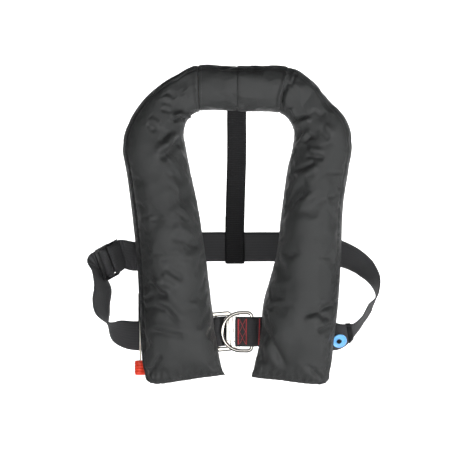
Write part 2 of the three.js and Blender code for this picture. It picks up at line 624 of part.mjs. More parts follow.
// ---- The slider that joins the two belts at the left side ---------------------------------------------------
// In its own frame the bars run along b, the belts cross them along c, and n looks forward.
const SLIDER = { place: v3(-27 - SHOULDER_HALF, 57, 189 - LOBE_LENGTH), half: 14.5, thick: 3.2, bar: 4.5 };
const sliderAxes = (() => {
  const b = v3(-0.31, -0.38, 0.87).normalize();
  const c = v3(-0.86, -0.4, -0.5);
  c.addScaledVector(b, -c.dot(b)).normalize();
  const n = b.clone().cross(c).normalize();
  return { b, c, n: n.y > 0 ? n.negate() : n };
})();
const onSlider = (c, n) =>
  SLIDER.place.clone().addScaledVector(sliderAxes.c, c).addScaledVector(sliderAxes.n, n);
const sliderKey = ([c, n]) => [...onSlider(c, n).toArray(), ...sliderAxes.b.toArray()];
const SLIDER_OFF = SLIDER.thick / 2 + 0.8 + BELT_THICK / 2; // a strap's middle plane, off a bar's middle
const TAIL_OFF = SLIDER_OFF + BELT_THICK + 1.6;

function slider() {
  const { half, thick, bar } = SLIDER;
  const inside = BELT_WIDTH / 2 + 1;
  const outline = roundedRect(new THREE.Shape(), -half, half, -inside - 4, inside + 4, 5);
  for (const from of [bar - half, bar / 2]) {
    const to = from + half - bar * 1.5;
    outline.holes.push(roundedRect(new THREE.Path(), from, to, -inside, inside, 1.5));
  }
  const g = new THREE.ExtrudeGeometry(outline, { depth: thick, bevelEnabled: false, curveSegments: 6 });
  const { b, c } = sliderAxes;
  const place = new THREE.Matrix4().makeBasis(c, b, c.clone().cross(b));
  const back = c.clone().cross(b).dot(sliderAxes.n) > 0 ? -1 : 1;
  place.setPosition(onSlider(0, (back * thick) / 2));
  add("belt_slider", g, blackPlastic, place);
}

// ---- Belts ---------------------------------------------------------------------------------------------
// The keys round the body are drawn for one size, and graded to the jacket's width and length.
const DRAWN = { half: 177, length: 424 };
const graded = ([x, y, z, ...width]) => [
  x + Math.sign(x) * Math.min(Math.abs(x) / 100, 1) * (SHOULDER_HALF - DRAWN.half),
  y,
  z + DRAWN.length - LOBE_LENGTH,
  ...width,
];

// The right belt: a sewn loop round the slider's bar, the back, the right side, and behind the right
// lobe to the tether ring and a second sewn loop round the hook's bar.
function rightBeltKeys() {
  const n = SLIDER_OFF;
  const bar = SLIDER.bar / 2 - SLIDER.half;
  const loop = [
    [bar - 16, n - 3.2], [bar - 7, n - 0.6], [bar, n + 0.2], [bar + 2.8, n * 0.86], [bar + SLIDER.bar / 2 + 1.9, 0],
    [bar + 2.8, -n * 0.86], [bar, -n - 0.2], [bar - 7, 0.3 - n], [bar - 16, 0.9 - n],
  ];
  const y = BACK_BELT_Y;
  const round = [
    [-160, 69, -226, -0.04, -0.1, 1],
    [-135, 70.5, -218, 0, 0, 1],
    [-100, 72.5, -212, 0, 0, 1],
    [-50, y - 0.3, -211, 0, 0, 1],
    [0, y, -211, 0, 0, 1],
    [50, y - 0.3, -211, 0, 0, 1],
    [100, y - 4, -212, 0, 0, 1],
    [130, 65, -214, 0, -0.2, 0.98],
    [160, 62, -221, 0.1, -0.45, 0.85],
    [185, 58, -232, 0.32, -0.62, 0.66],
    [202, 54.5, -245, 0.45, -0.75, 0.45],
    [215, 51, -263, 0.33, -0.9, 0.23],
    [218.5, 47.5, -286, 0.03, -1, 0.04],
    [208, 44, -305, -0.26, -0.96, 0.04],
    [196.5, 40.5, -324, -0.2, -0.96, 0.1],
    [183, 37.5, -339, -0.13, -0.88, 0.36],
    [169, 34.5, -347, -0.1, -0.68, 0.7],
    [154, 32.5, -350.5, -0.05, -0.36, 0.93],
    [134, 30.4, -348, 0, -0.06, 1],
    [112, BELT_REST_Y, -344, 0, 0, 1],
  ].map(graded);
  const rest = BELT_REST_Y;
  const under = rest + 1.7; // the layer behind the tether ring
  const over = rest - 0.9; // the layer in front
  const h = HOOK_BAR;
  const r = HOOK_ROD / 2 + 0.6 + BAND;
  const b = RING_BAR.x;
  const bump = RING_BAR.y - RING_ROD / 2 - 0.5 - BAND;
  const front = [
    [100, rest], [66, rest], [50, rest + 0.8], [38, under], [b + 4, under], [13, h.y + 1], [6.5, h.y + r - 0.7],
    [h.x, h.y + r], [h.x - r * 0.71, h.y + r * 0.71], [h.x - r, h.y], [h.x - r * 0.71, h.y - r * 0.71],
    [h.x, h.y - r], [7, h.y - r - 0.5], [11, over + 0.5], [b - 8, over - 0.2], [b - 4.2, bump + 1.6], [b, bump],
    [b + 4.2, bump + 1.6], [b + 8, over - 0.2], [b + 13, over],
  ].map(([x, depth]) => [x, depth, BELT_Z, 0, 0, 1]);
  return [...loop.map(sliderKey), ...round, ...front];
}

// The left belt: its tail behind the slider, over the middle bar, down the left side, behind the left
// lobe, and round the closure frame's bar.
function leftBelt() {
  const n = SLIDER_OFF;
  const clear = SLIDER.half + BELT_WIDTH / 7;
  const thread = [
    [-32, -TAIL_OFF - 1.4], [-22, -TAIL_OFF - 0.6], [-12, -TAIL_OFF], [-6.6, 1 - TAIL_OFF], [-4.7, -1], [-3.2, n - 0.7],
    [0, n + 0.4], [3.4, n - 0.6], [5.6, 0], [7.6, -n + 0.2], [11, -n - 0.9], [clear, -n - 1.4],
  ];
  const round = [
    [-211, 50, -276, -0.56, -0.8, 0.1],
    [-213, 46, -298, -0.56, -0.78, 0.28],
    [-209, 41, -321, -0.5, -0.66, 0.56],
    [-195, 37, -339, -0.4, -0.5, 0.76],
    [-172, 33.5, -347.5, -0.2, -0.25, 0.94],
    [-150, 31, -349.5, -0.04, -0.06, 0.99],
    [-126, BELT_REST_Y + 0.4, -347, 0, 0, 1],
    [-106, BELT_REST_Y, -343.5, 0, 0, 1],
  ].map(graded);
  const { x, half } = FRAME_BAR;
  const front = FRAME_Y - 0.9 - BAND;
  const back = FRAME_Y + FRAME_THICK + 0.5 + BAND;
  const middle = FRAME_Y + FRAME_THICK / 2;
  const railX = FRAME_LEFT + RAIL / 2;
  const wrap = [
    [-98, BELT_REST_Y], [-68, BELT_REST_Y], [-58, back - 1.6], [railX - 2, back + 0.1], [railX + 3.5, back],
    [x - half - 2.7, middle], [x - half - 0.4, front + 0.3], [x, front - 0.2], [x + half + 0.4, front + 0.3],
    [x + half + 2.3, middle], [x + half + 0.8, back + 1.2], [x - 1, back + 2.6], [railX, back + 2.9], [railX - 14, back + 2.6],
  ].map(([along, depth], i) => {
    const lean = i > 2 ? Math.sin(rad(FRAME_TILT)) : 0;
    return [along, depth, BELT_Z + lean * (along - FRAME_MIDDLE), -lean, 0, 1];
  });
  add("left_belt", strap([...thread.map(sliderKey), ...round, ...wrap], BELT_WIDTH, 104), webbing);
}

// The strap from the collar down to the back belt, which it goes round.
function backStrap() {
  const frontY = BACK_BELT_Y - BELT_THICK - 0.5;
  const backY = BACK_BELT_Y + BELT_THICK + 0.5;
  const low = BACK_BELT_Z - BELT_WIDTH / 2 - 1.8;
  const x = -1.4;
  const drift = -2.6;
  const keys = [
    [x, COLLAR_BACK + 2, 34], [x, COLLAR_BACK + 2.4, 12], [x, COLLAR_BACK + 5, -12], [x, 44, BACK_BELT_Z + 131],
    [x + drift * 0.7, 62, BACK_BELT_Z + 69], [x + drift, frontY - 0.6, BACK_BELT_Z + 29], [x + drift, frontY, BACK_BELT_Z],
    [x + drift, frontY, low + 2], [x + drift, frontY + 1.2, low - 0.6], [x + drift, BACK_BELT_Y, low - 1.6],
    [x + drift, backY - 1.2, low - 0.6], [x + drift, backY, low + 2], [x + drift, backY, BACK_BELT_Z],
    [x + drift, backY, BACK_BELT_Z + BELT_WIDTH / 2], [x + drift, BACK_BELT_Y + 0.4, BACK_BELT_Z + BELT_WIDTH / 2 + 9],
    [x + drift, BACK_BELT_Y - 1.4, BACK_BELT_Z + BELT_WIDTH / 2 + 24],
  ];
  add("back_strap", strap(keys.map((k) => [...k, 1, 0, 0]), STRAP_WIDTH, 45), webbing);
}

// Loops on the back panels that carry the front belt.
function beltKeepers() {
  for (const side of [-1, 1]) {
    const x = side * (TUBE.x - 16);
    const out = BELT_REST_Y + BAND + 1.3;
    const flat = LOBE_BACK + 1.5;
    const h = BELT_WIDTH / 2;
    const keys = [
      [x, flat, BELT_Z + h + 22], [x, flat, BELT_Z + h + 8], [x, flat + 3, BELT_Z + h + 3.4], [x, out - 0.4, BELT_Z + h + 0.4],
      [x, out, BELT_Z + h - 4], [x, out, BELT_Z], [x, out, BELT_Z - h + 4], [x, out - 0.4, BELT_Z - h - 0.4],
      [x, flat + 2, BELT_Z - h - 4], [x, flat - 1, BELT_Z - h - 9], [x, flat - 3.4, BELT_Z - h - 18],
    ];
    const g = strap(keys.map((k) => [...k, 1, 0, 0]), 32, 30, 1.4);
    add(side < 0 ? "left_belt_keeper" : "right_belt_keeper", g, webbing);
  }
}

// The right belt, the disc riveted to its front, and the small loop that holds it flat next to the disc.
const DISC = { x: SHOULDER_HALF - 19, down: 6, shank: 2, twist: 1 }; // twist: what the belt rises by under the rivet
const LOOP = { x: SHOULDER_HALF - 2, width: 8, wall: 1.4, room: 0.9 };

function rightBelt() {
  const keys = rightBeltKeys();
  add("right_belt", strap(keys, BELT_WIDTH, 126), webbing);

  const front = strapFrames(keys, 800).filter((f) => f.place.z < BELT_Z + 10);
  const at = front.find((f) => f.place.x < DISC.x);
  const forward = at.normal.clone().multiplyScalar(at.normal.y > 0 ? -1 : 1);
  const place = new THREE.Matrix4().makeBasis(at.across, forward.clone().cross(at.across), forward);
  const flange = 0.9;
  const spot = at.place.clone().addScaledVector(at.across, -DISC.down);
  place.setPosition(spot.addScaledVector(forward, BAND + 2 * GAP + flange + DISC.twist));
  const r = DISC_D / 2;
  const bore = DISC.shank + GAP;
  const rim = [[bore, 0], [r - 0.6, 0], [r, 0.7], [r, 2.3], [r - 0.8, 3], [bore, 3], [bore, 0]];
  add("belt_disc", turned(rim, 28), bluePlastic, place);
  const rivet = [
    [0, -GAP - flange], [4, -GAP - flange], [4, -GAP], [DISC.shank, -GAP], [DISC.shank, 3.3], [4, 3.3], [3.4, 4.2],
    [0, 4.2],
  ];
  add("disc_rivet", turned(rivet, 16), stainless, place);

  const held = front.filter((f) => Math.abs(f.place.x - LOOP.x) < LOOP.width / 2);
  const chosen = [0, 1, 2, 3].map((i) => held[Math.round((i / 3) * (held.length - 1))]);
  const ring = (grow) => (f) => strapSection(f, BELT_WIDTH + 2 * grow, BELT_THICK + 2 * grow);
  const outside = chosen.map(ring(LOOP.room + LOOP.wall));
  const inside = chosen.map(ring(LOOP.room)).reverse();
  add("right_belt_loop", loft([...outside, ...inside], true), webbing);
}

covers();
for (const [lobe, name] of [[LEFT, "left"], [RIGHT, "right"]]) {
  add(`${name}_closure_tape`, closureTape(lobe), hookTape);
}
chamber();
inflator();
manifold();
cordHood();
pullHandle();
oralTube();
tetherRing();
closure();
slider();
rightBelt();
leftBelt();
backStrap();
beltKeepers();

export default jacket;
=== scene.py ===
# %% [markdown]
# # An inflatable life jacket in Blender
# The jacket is a horseshoe of woven nylon that hides a folded air chamber, on a harness of webbing,
# stainless steel and a few moulded parts. Its plan comes from a CAD model, which this lesson loads as a
# fixed frame. Blender adds what the plan can't hold: cloth that swells and creases, ribbed webbing,
# stitches, polished steel and a braided cord. Everything is in metres, +Z is up and -Y is the front.

# %% Load the frame
import math

import bmesh
import bpy
import numpy as np
from mathutils import Matrix, Vector, noise


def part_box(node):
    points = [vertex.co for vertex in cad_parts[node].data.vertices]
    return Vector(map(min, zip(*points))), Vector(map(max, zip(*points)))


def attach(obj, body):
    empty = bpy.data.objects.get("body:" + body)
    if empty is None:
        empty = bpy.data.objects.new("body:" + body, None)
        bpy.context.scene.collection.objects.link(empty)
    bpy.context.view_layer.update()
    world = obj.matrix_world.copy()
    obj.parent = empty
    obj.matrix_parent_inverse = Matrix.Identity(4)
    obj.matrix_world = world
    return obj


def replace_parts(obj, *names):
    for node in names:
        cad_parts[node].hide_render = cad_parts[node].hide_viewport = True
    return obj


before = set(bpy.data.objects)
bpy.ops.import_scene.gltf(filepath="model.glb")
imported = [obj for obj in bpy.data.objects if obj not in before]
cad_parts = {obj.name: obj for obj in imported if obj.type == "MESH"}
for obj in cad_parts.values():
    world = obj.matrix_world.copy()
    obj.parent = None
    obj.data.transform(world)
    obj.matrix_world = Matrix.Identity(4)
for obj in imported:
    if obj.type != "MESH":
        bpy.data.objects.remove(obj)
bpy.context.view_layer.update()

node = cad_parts
MM = 0.001

# %% [markdown]
# ## The camera
# The jacket is seen straight from the front, as in a catalogue. A long lens from five metres away keeps
# the belt at the back almost as large as the ring at the front, so nothing looks stretched.

# %% Camera
VIEW_WIDTH = 0.6975  # what the square view shows across, at the jacket
VIEW_CENTRE = Vector((-0.0194, 0, -0.1767))
FAR = 5.0
camera_data = bpy.data.cameras.new("catalogue_camera")
camera_data.sensor_width = 36
camera_data.lens = 36 * FAR / VIEW_WIDTH
camera_data.clip_end = 50
camera = bpy.data.objects.new("catalogue_camera", camera_data)
camera.location = VIEW_CENTRE + Vector((0, -FAR, 0))
camera.rotation_euler = (math.radians(90), 0, 0)
bpy.context.scene.collection.objects.link(camera)
bpy.context.scene.camera = camera

# %% [markdown]
# ## Small tools
# A few helpers carry the whole lesson. `grid_mesh` turns rows of points into a mesh with UVs in metres, so
# that a weave keeps its real size anywhere on it. `smooth_curve` draws the same curve through points as
# the CAD does, a centripetal Catmull-Rom curve. `linear` turns an sRGB hex colour, as a person would pick
# it, into the linear colour that a shader needs.


# %% Helpers
def linear(hex_colour):
    channels = [int(hex_colour[i : i + 2], 16) / 255 for i in (1, 3, 5)]
    return [c / 12.92 if c <= 0.04045 else ((c + 0.055) / 1.055) ** 2.4 for c in channels] + [1]


def placed(name, mesh, material, smooth=True):
    for polygon in mesh.polygons:
        polygon.use_smooth = smooth
    piece = bpy.data.objects.new(name, mesh)
    piece.data.materials.append(material)
    bpy.context.scene.collection.objects.link(piece)
    return piece


def link(name, mesh, material, body):
    piece = placed(name, mesh, material)
    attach(piece, body)
    return piece


def grid_mesh(name, rows, closed=False, capped=False, uv=None):
    """rows[i][j] is a point; closed joins each row's end to its start, capped fills the two end rows."""
    rows = np.asarray(rows, dtype=float)
    count, around = rows.shape[:2]
    faces, corners = [], []
    for i in range(count - 1):
        for j in range(around if closed else around - 1):
            k = (j + 1) % around
            faces.append((i * around + j, i * around + k, (i + 1) * around + k, (i + 1) * around + j))
            corners.append(((i, j), (i, j + 1), (i + 1, j + 1), (i + 1, j)))
    if capped:
        faces.append(tuple(range(around - 1, -1, -1)))
        faces.append(tuple((count - 1) * around + j for j in range(around)))
        corners += [((0, 0),) * around] * 2
    mesh = bpy.data.meshes.new(name)
    mesh.from_pydata([tuple(p) for p in rows.reshape(-1, 3)], [], faces)
    if uv is not None:
        layer = mesh.uv_layers.new(name="metres")
        flat = [uv[i][min(j, len(uv[i]) - 1)] for corner in corners for i, j in corner]
        layer.data.foreach_set("uv", np.asarray(flat, dtype=np.float32).ravel())
    turn_outward(mesh)
    return mesh


def turn_outward(mesh):
    work = bmesh.new()
    work.from_mesh(mesh)
    bmesh.ops.recalc_face_normals(work, faces=work.faces)
    work.to_mesh(mesh)
    work.free()


def weld(mesh, distance=1e-7):
    """Joins the vertices that lie on each other, so that a closed shape has no open seam."""
    work = bmesh.new()
    work.from_mesh(mesh)
    bmesh.ops.remove_doubles(work, verts=work.verts, dist=distance)
    work.to_mesh(mesh)
    work.free()
    turn_outward(mesh)


def run_along(points):
    """The way along a line of points, from the first one to each."""
    return np.concatenate([[0], np.cumsum(np.linalg.norm(np.diff(points, axis=0), axis=1))])


def smooth_curve(points, at):
    """Points of a centripetal Catmull-Rom curve at shares 0 to 1 of its keys."""
    keys = np.asarray(points, dtype=float)
    padded_keys = np.vstack([2 * keys[0] - keys[1], keys, 2 * keys[-1] - keys[-2]])
    out = []
    for share in at:
        place = min(max(share, 0), 1) * (len(keys) - 1)
        k = min(int(place), len(keys) - 2)
        w = place - k
        p = padded_keys[k : k + 4]
        gaps = [max(math.sqrt(np.linalg.norm(p[i + 1] - p[i])), 1e-6) for i in range(3)]
        first = (p[1] - p[0]) / gaps[0] - (p[2] - p[0]) / (gaps[0] + gaps[1]) + (p[2] - p[1]) / gaps[1]
        last = (p[2] - p[1]) / gaps[1] - (p[3] - p[1]) / (gaps[1] + gaps[2]) + (p[3] - p[2]) / gaps[2]
        first, last = first * gaps[1], last * gaps[1]
        out.append(
            (2 * w**3 - 3 * w**2 + 1) * p[1] + (w**3 - 2 * w**2 + w) * first
            + (3 * w**2 - 2 * w**3) * p[2] + (w**3 - w**2) * last
        )
    return np.array(out)


# %% [markdown]
# ## Materials: a shared start
# Every material below starts from a bare node tree with one Principled shader. `add` puts one node in it,
# with its settings and its links, and is the only node tool. A link may come from a node, which stands for
# its first output. A noise's scale is a number per metre: 14 makes patches of 7 cm, 90 of 11 mm, 120 of
# 8 mm, 160 of 6 mm, 900 of 1.1 mm, 1500 of 0.7 mm and 1800 of 0.6 mm.


# %% Node helper
def bare_material(name):
    material = bpy.data.materials.new(name)
    material.use_nodes = True
    material.node_tree.nodes.clear()
    shader = add(material, "ShaderNodeBsdfPrincipled")
    add(material, "ShaderNodeOutputMaterial", links={"Surface": shader.outputs[0]})
    return material, shader


def add(material, kind, settings=None, values=None, links=None):
    made = material.node_tree.nodes.new(kind)
    for key, value in (settings or {}).items():
        setattr(made, key, value)
    for key, value in (values or {}).items():
        made.inputs[key].default_value = value
    for key, source in (links or {}).items():
        join(material, source, made.inputs[key])
    return made


def join(material, source, target):
    source = source.outputs[0] if hasattr(source, "outputs") else source
    material.node_tree.links.new(source, target)


def span(low, high, to_low, to_high):
    """The values that map one range onto another."""
    return {"From Min": low, "From Max": high, "To Min": to_low, "To Max": to_high}


def shade(shader, base, rough, metallic=0.0, ior=1.5, **more):
    """The constant values of a shader; specular_ior_level=0.4 sets the one named Specular IOR Level."""
    shader.inputs["Base Color"].default_value = linear(base)
    shader.inputs["Roughness"].default_value = rough
    shader.inputs["Metallic"].default_value = metallic
    if metallic < 0.5:
        shader.inputs["IOR"].default_value = ior
    for key, value in more.items():
        shader.inputs[key.replace("_", " ").title().replace("Ior", "IOR")].default_value = value


def two_tone(material, shader, factor, low, high):
    """Base colour from low to high as factor goes from 0 to 1."""
    mix = add(material, "ShaderNodeMix", {"data_type": "RGBA"}, links={"Factor": factor})
    mix.inputs["A"].default_value = linear(low)
    mix.inputs["B"].default_value = linear(high)
    join(material, mix.outputs["Result"], shader.inputs["Base Color"])


def sines(material, source, pitch_u, pitch_v):
    """Two running waves of those pitches in metres, along the two directions of source."""
    split = add(material, "ShaderNodeSeparateXYZ", links={"Vector": source})
    waves = []
    for axis, pitch in (("X", pitch_u), ("Y", pitch_v)):
        turns = add(material, "ShaderNodeMath", {"operation": "MULTIPLY"}, {1: 2 * math.pi / pitch})
        join(material, split.outputs[axis], turns.inputs[0])
        waves.append(add(material, "ShaderNodeMath", {"operation": "SINE"}, links={0: turns}))
    return waves


# %% [markdown]
# ## The shell: 210-denier woven nylon
# The cover of such a jacket is a plain-woven, coated nylon. Its threads lie about 0.4 mm apart, which is
# finer than a whole-jacket view can show, so the weave here is drawn at 0.9 mm, and the looser lining at
# 1.2 mm. The coating gives it a soft satin shine rather than a gloss, and handling leaves faint lighter
# and darker patches.


# %% Woven nylon
def woven_nylon(name, dark, light, rough, pitch=0.0009, depth=0.00012):
    material, shader = bare_material(name)
    shade(shader, light, rough, ior=1.5, sheen_weight=0.05, sheen_roughness=0.4, specular_ior_level=0.4)
    where = add(material, "ShaderNodeUVMap", {"uv_map": "metres"})
    warp, weft = sines(material, where, pitch, pitch)
    weave = add(material, "ShaderNodeMath", {"operation": "MULTIPLY"}, links={0: warp, 1: weft})
    place = add(material, "ShaderNodeTexCoord").outputs["Object"]
    patches = add(material, "ShaderNodeTexNoise", values={"Scale": 14, "Detail": 4}, links={"Vector": place})
    cloudy = add(material, "ShaderNodeMapRange", values=span(0.3, 0.7, 0, 1), links={"Value": patches})
    # The weave's own height also shifts the colour: painted highlight on the thread crossings and painted
    # shade in the hollows between them, added to the cloth's own patchy tone.
    thread = add(material, "ShaderNodeMapRange", values=span(-1, 1, -0.12, 0.12), links={"Value": weave})
    tone = add(material, "ShaderNodeMath", {"operation": "ADD"}, links={0: cloudy, 1: thread})
    two_tone(material, shader, tone, dark, light)
    handled = span(0.25, 0.75, rough - 0.06, rough + 0.08)
    worn = add(material, "ShaderNodeMapRange", values=handled, links={"Value": patches})
    join(material, worn, shader.inputs["Roughness"])
    crinkle = add(material, "ShaderNodeTexNoise", values={"Scale": 120, "Detail": 3}, links={"Vector": place})
    creased = {"Distance": 0.0006, "Strength": 0.5}
    fine = add(material, "ShaderNodeBump", values=creased, links={"Height": crinkle})
    woven = {"Distance": depth, "Strength": 0.7}
    raised = add(material, "ShaderNodeBump", values=woven, links={"Height": weave, "Normal": fine})
    join(material, raised, shader.inputs["Normal"])
    return material


shell_nylon = woven_nylon("coated_woven_nylon", "#282929", "#303131", 0.5)
lining_nylon = woven_nylon("soft_lining_nylon", "#17181A", "#222325", 0.8, pitch=0.0012, depth=0.0002)
bladder_nylon = woven_nylon("heat_sealed_bladder_nylon", "#C8960F", "#E2AE22", 0.42)


# %% [markdown]
# ## Webbing: ribbed polyester
# Harness webbing is woven under tension, so its surface is a row of fine ribs that run across it, and the
# yarns bunch up in narrow lanes along it. The ribs are 1.5 mm apart on the belts. On the narrow tape they
# are drawn at 3 mm, coarser than they are, or they wouldn't show. The same yarn, dyed red, sews the safety
# seams, because a tear in a red seam is easy to see when the jacket is inspected.


# %% Webbing and thread
def ribbed_webbing(name, dark, light, rib=0.0015, lane=0.0042):
    material, shader = bare_material(name)
    shade(shader, light, 0.72, ior=1.5, sheen_weight=0.04, sheen_roughness=0.5, specular_ior_level=0.3)
    where = add(material, "ShaderNodeUVMap", {"uv_map": "metres"})
    lanes, ribs = sines(material, where, lane, rib)
    lane_part = add(material, "ShaderNodeMapRange", values=span(-1, 1, 0, 0.14), links={"Value": lanes})
    rib_part = add(material, "ShaderNodeMapRange", values=span(-1, 1, 0, 0.86), links={"Value": ribs})
    height = add(material, "ShaderNodeMath", {"operation": "ADD"}, links={0: lane_part, 1: rib_part})
    fuzz = add(material, "ShaderNodeTexNoise", values={"Scale": 900, "Detail": 2}, links={"Vector": where})
    rough_height = add(material, "ShaderNodeMath", {"operation": "MULTIPLY_ADD"}, {1: 0.35})
    join(material, fuzz, rough_height.inputs[0])
    join(material, height, rough_height.inputs[2])
    # The colour follows the height of the ribs and lanes: painted shade in the grooves, painted highlight on
    # the crests.
    two_tone(material, shader, height, dark, light)
    ribbed = {"Distance": 0.0005, "Strength": 1.0}
    raised = add(material, "ShaderNodeBump", values=ribbed, links={"Height": rough_height})
    join(material, raised, shader.inputs["Normal"])
    return material


def spun_fibre(name, dark, light, rough, scale, detail, **more):
    """Thread or cord: twisted fibres with a faint fuzz, lighter where they stand up: painted highlight and
    shade.
    """
    material, shader = bare_material(name)
    shade(shader, light, rough, ior=1.53, sheen_weight=0.3, **more)
    place = add(material, "ShaderNodeTexCoord").outputs["Object"]
    size = {"Scale": scale, "Detail": detail}
    fibre = add(material, "ShaderNodeTexNoise", values=size, links={"Vector": place})
    # The same noise that raises the fibres sets their colour: painted highlight on the raised ones, painted
    # shade in the dips between them.
    tone = add(material, "ShaderNodeMapRange", values=span(0.3, 0.7, 0, 1), links={"Value": fibre})
    two_tone(material, shader, tone, dark, light)
    twisted = {"Distance": 0.0002, "Strength": 0.6}
    raised = add(material, "ShaderNodeBump", values=twisted, links={"Height": fibre})
    join(material, raised, shader.inputs["Normal"])
    return material


harness_webbing = ribbed_webbing("ribbed_polyester_webbing", "#232324", "#444446")
narrow_webbing = ribbed_webbing("narrow_polyester_webbing", "#040405", "#121215", rib=0.0030, lane=0.004)
red_thread = spun_fibre("red_bonded_thread", "#A81420", "#E01F2A", 0.55, 1500, 2)
black_thread = spun_fibre("black_bonded_thread", "#101011", "#1B1B1C", 0.55, 1500, 2)

# %% [markdown]
# ## The horseshoe: its plan
# The collar and the two lobes are one long pillow, flat at its bottom ends. The plan is a list of
# stations down each side, which hold the inner and outer edge and the depth, the same as in the CAD.
# Between them run smooth curves, and across them runs a rounded arch in front and a flatter one behind.

# %% Stations
SHOULDER_HALF, LOBE_LENGTH, COLLAR_HEIGHT = 0.177, 0.424, 0.070
SEAM_Y, BOTTOM_SEAM = 0.006, 0.003
LOBE_FRONT, LOBE_BACK, COLLAR_FRONT, COLLAR_BACK = 0.034, 0.022, 0.025, 0.020
LEFT = [
    (0, 0, 0, 1, 0), (0.328, 0, 0.34, 1, 0), (0.407, -0.019, 0.548, 0.757, 0.15),
    (0.452, -0.047, 0.808, 0.243, 0.5), (0.469, -0.083, 0.96, -0.059, 0.8), (0.455, -0.123, 1, -0.137, 0.92),
    (0.412, -0.217, 0.966, -0.236, 1), (0.345, -0.354, 0.927, -0.358, 1), (0.277, -0.531, 0.881, -0.538, 1),
    (0.226, -0.708, 0.859, -0.712, 1), (0.186, -0.83, 0.845, -0.84, 0.95), (0.138, -0.935, 0.81, -0.95, 0.48),
    (0.107, -0.965, 0.706, -1, 0),
]
RIGHT = [
    (0, 0, 0, 1, 0), (0.373, -0.007, 0.452, 0.957, 0), (0.452, -0.031, 0.616, 0.714, 0.15),
    (0.497, -0.071, 0.808, 0.214, 0.5), (0.497, -0.104, 0.949, -0.038, 0.8),
    (0.48, -0.146, 0.997, -0.118, 0.92),
    (0.441, -0.212, 0.972, -0.212, 1), (0.395, -0.349, 0.924, -0.342, 1), (0.339, -0.531, 0.904, -0.538, 1),
    (0.232, -0.703, 0.879, -0.708, 1), (0.206, -0.825, 0.842, -0.84, 0.95),
    (0.153, -0.925, 0.802, -0.953, 0.48), (0.124, -0.972, 0.718, -1, 0),
]
LAST = len(LEFT) - 1
COLLAR_SEAM = 1


def edges(stations, side):
    """The inner and outer edge as curve keys; their y holds the depth in front and behind."""
    def height(share):
        return share * (COLLAR_HEIGHT if share > 0 else LOBE_LENGTH)

    def depth(k, share, lobe, collar):
        if k == LAST:
            return BOTTOM_SEAM
        return lobe * share if k > 5 else collar + (lobe - collar) * share

    inner = [
        (side * x * SHOULDER_HALF, depth(k, d, LOBE_FRONT + SEAM_Y, COLLAR_FRONT + SEAM_Y), height(z))
        for k, (x, z, _, _, d) in enumerate(stations)
    ]
    outer = [
        (side * x * SHOULDER_HALF, depth(k, d, LOBE_BACK - SEAM_Y, COLLAR_BACK - SEAM_Y), height(z))
        for k, (_, _, x, z, d) in enumerate(stations)
    ]
    return inner, outer


# %% [markdown]
# ## The horseshoe: one grid of cloth
# The pillow is first built as a single closed tube of small squares, from the bottom of one lobe up
# through the collar and down to the bottom of the other. A regular grid has two gains over a remeshed
# lump: the seams lie exactly on grid lines, and the weave gets UVs in metres. It starts a little slack,
# so that the simulated air pressure has room to fill it.

# %% Build the tube
CELL = 0.0048
FRONT_CELLS, BACK_CELLS = 40, 30
FRONT_ROUND, BACK_ROUND = 2.5, 3.2
SLACK = 0.0022
CORNER_ROUND = 0.0042  # how far the outer bottom corner swells past its straight cut


def spread(inner, outer):
    """Stations, in shares of the curve, that are evenly spaced along the middle of the lobe."""
    shares = np.linspace(0, 1, 241)
    middle = (smooth_curve(inner, shares) + smooth_curve(outer, shares)) / 2
    middle[:, 1] = 0
    run = run_along(middle)
    count = round(run[-1] / CELL)
    return np.interp(np.linspace(0, run[-1], count + 1), run, shares), run[-1]


def section(a, b, cells, to_front):
    """Points from the inner to the outer edge of one slice, over its front or its back."""
    chord = np.array([b[0] - a[0], 0, b[2] - a[2]])
    width = np.linalg.norm(chord)
    depth = max((a[1] if to_front else b[1]) - SLACK, 0.0004)
    roundness = FRONT_ROUND if to_front else BACK_ROUND
    points = []
    for i in range(cells + 1):
        across = 0.5 - 0.5 * math.cos(math.pi * i / cells)
        across = 0.65 * across + 0.35 * i / cells
        rise = (1 - abs(2 * across - 1) ** roundness) ** (1 / roundness)
        place = np.array([a[0], SEAM_Y, a[2]]) + chord / width * across * width
        place[1] = SEAM_Y + (-1 if to_front else 1) * depth * rise
        points.append(place)
    return points


rings, along = [], []
for stations, side in ((LEFT, -1), (RIGHT, 1)):
    inner, outer = edges(stations, side)
    shares, length = spread(inner, outer)
    a, b = smooth_curve(inner, shares), smooth_curve(outer, shares)
    corner = np.sin(math.pi * np.clip(shares * LAST - LAST + 1, 0, 1))
    b[:, 0] += side * CORNER_ROUND * corner
    b[:, 2] -= CORNER_ROUND * corner
    slices = []
    for p, q in zip(a, b):
        front = section(p, q, FRONT_CELLS, True)
        back = section(p, q, BACK_CELLS, False)
        slices.append(front + back[-2:0:-1])
    places = side * np.linspace(0, length, len(shares))
    if side < 0:
        rings, along = slices[::-1], list(places[::-1])
        left_station = list((shares * LAST)[::-1])
    else:
        rings += slices[1:]
        along += list(places[1:])
        station_of = np.array([-s for s in left_station] + list((shares * LAST)[1:]))
rings, along = np.array(rings), np.array(along)
ROUND = FRONT_CELLS + BACK_CELLS
print("cloth tube:", rings.shape[0], "slices of", ROUND, "points,", round(along[-1] - along[0], 3), "m long")

# %% [markdown]
# ## The horseshoe: air pressure
# Blender's Cloth fills the tube with a little pressure. The cloth is cut a few percent too large, as a
# real cover is so that the chamber can swell, and the surplus buckles into soft puckers beside the
# seams. The two edges and the flat bottom ends are held. The belt presses on the back, so the back may
# move only a little, and no point moves further than its cap.

# %% Simulate the swelling
FRONT_CAP, BACK_CAP = 0.0075, 0.0012


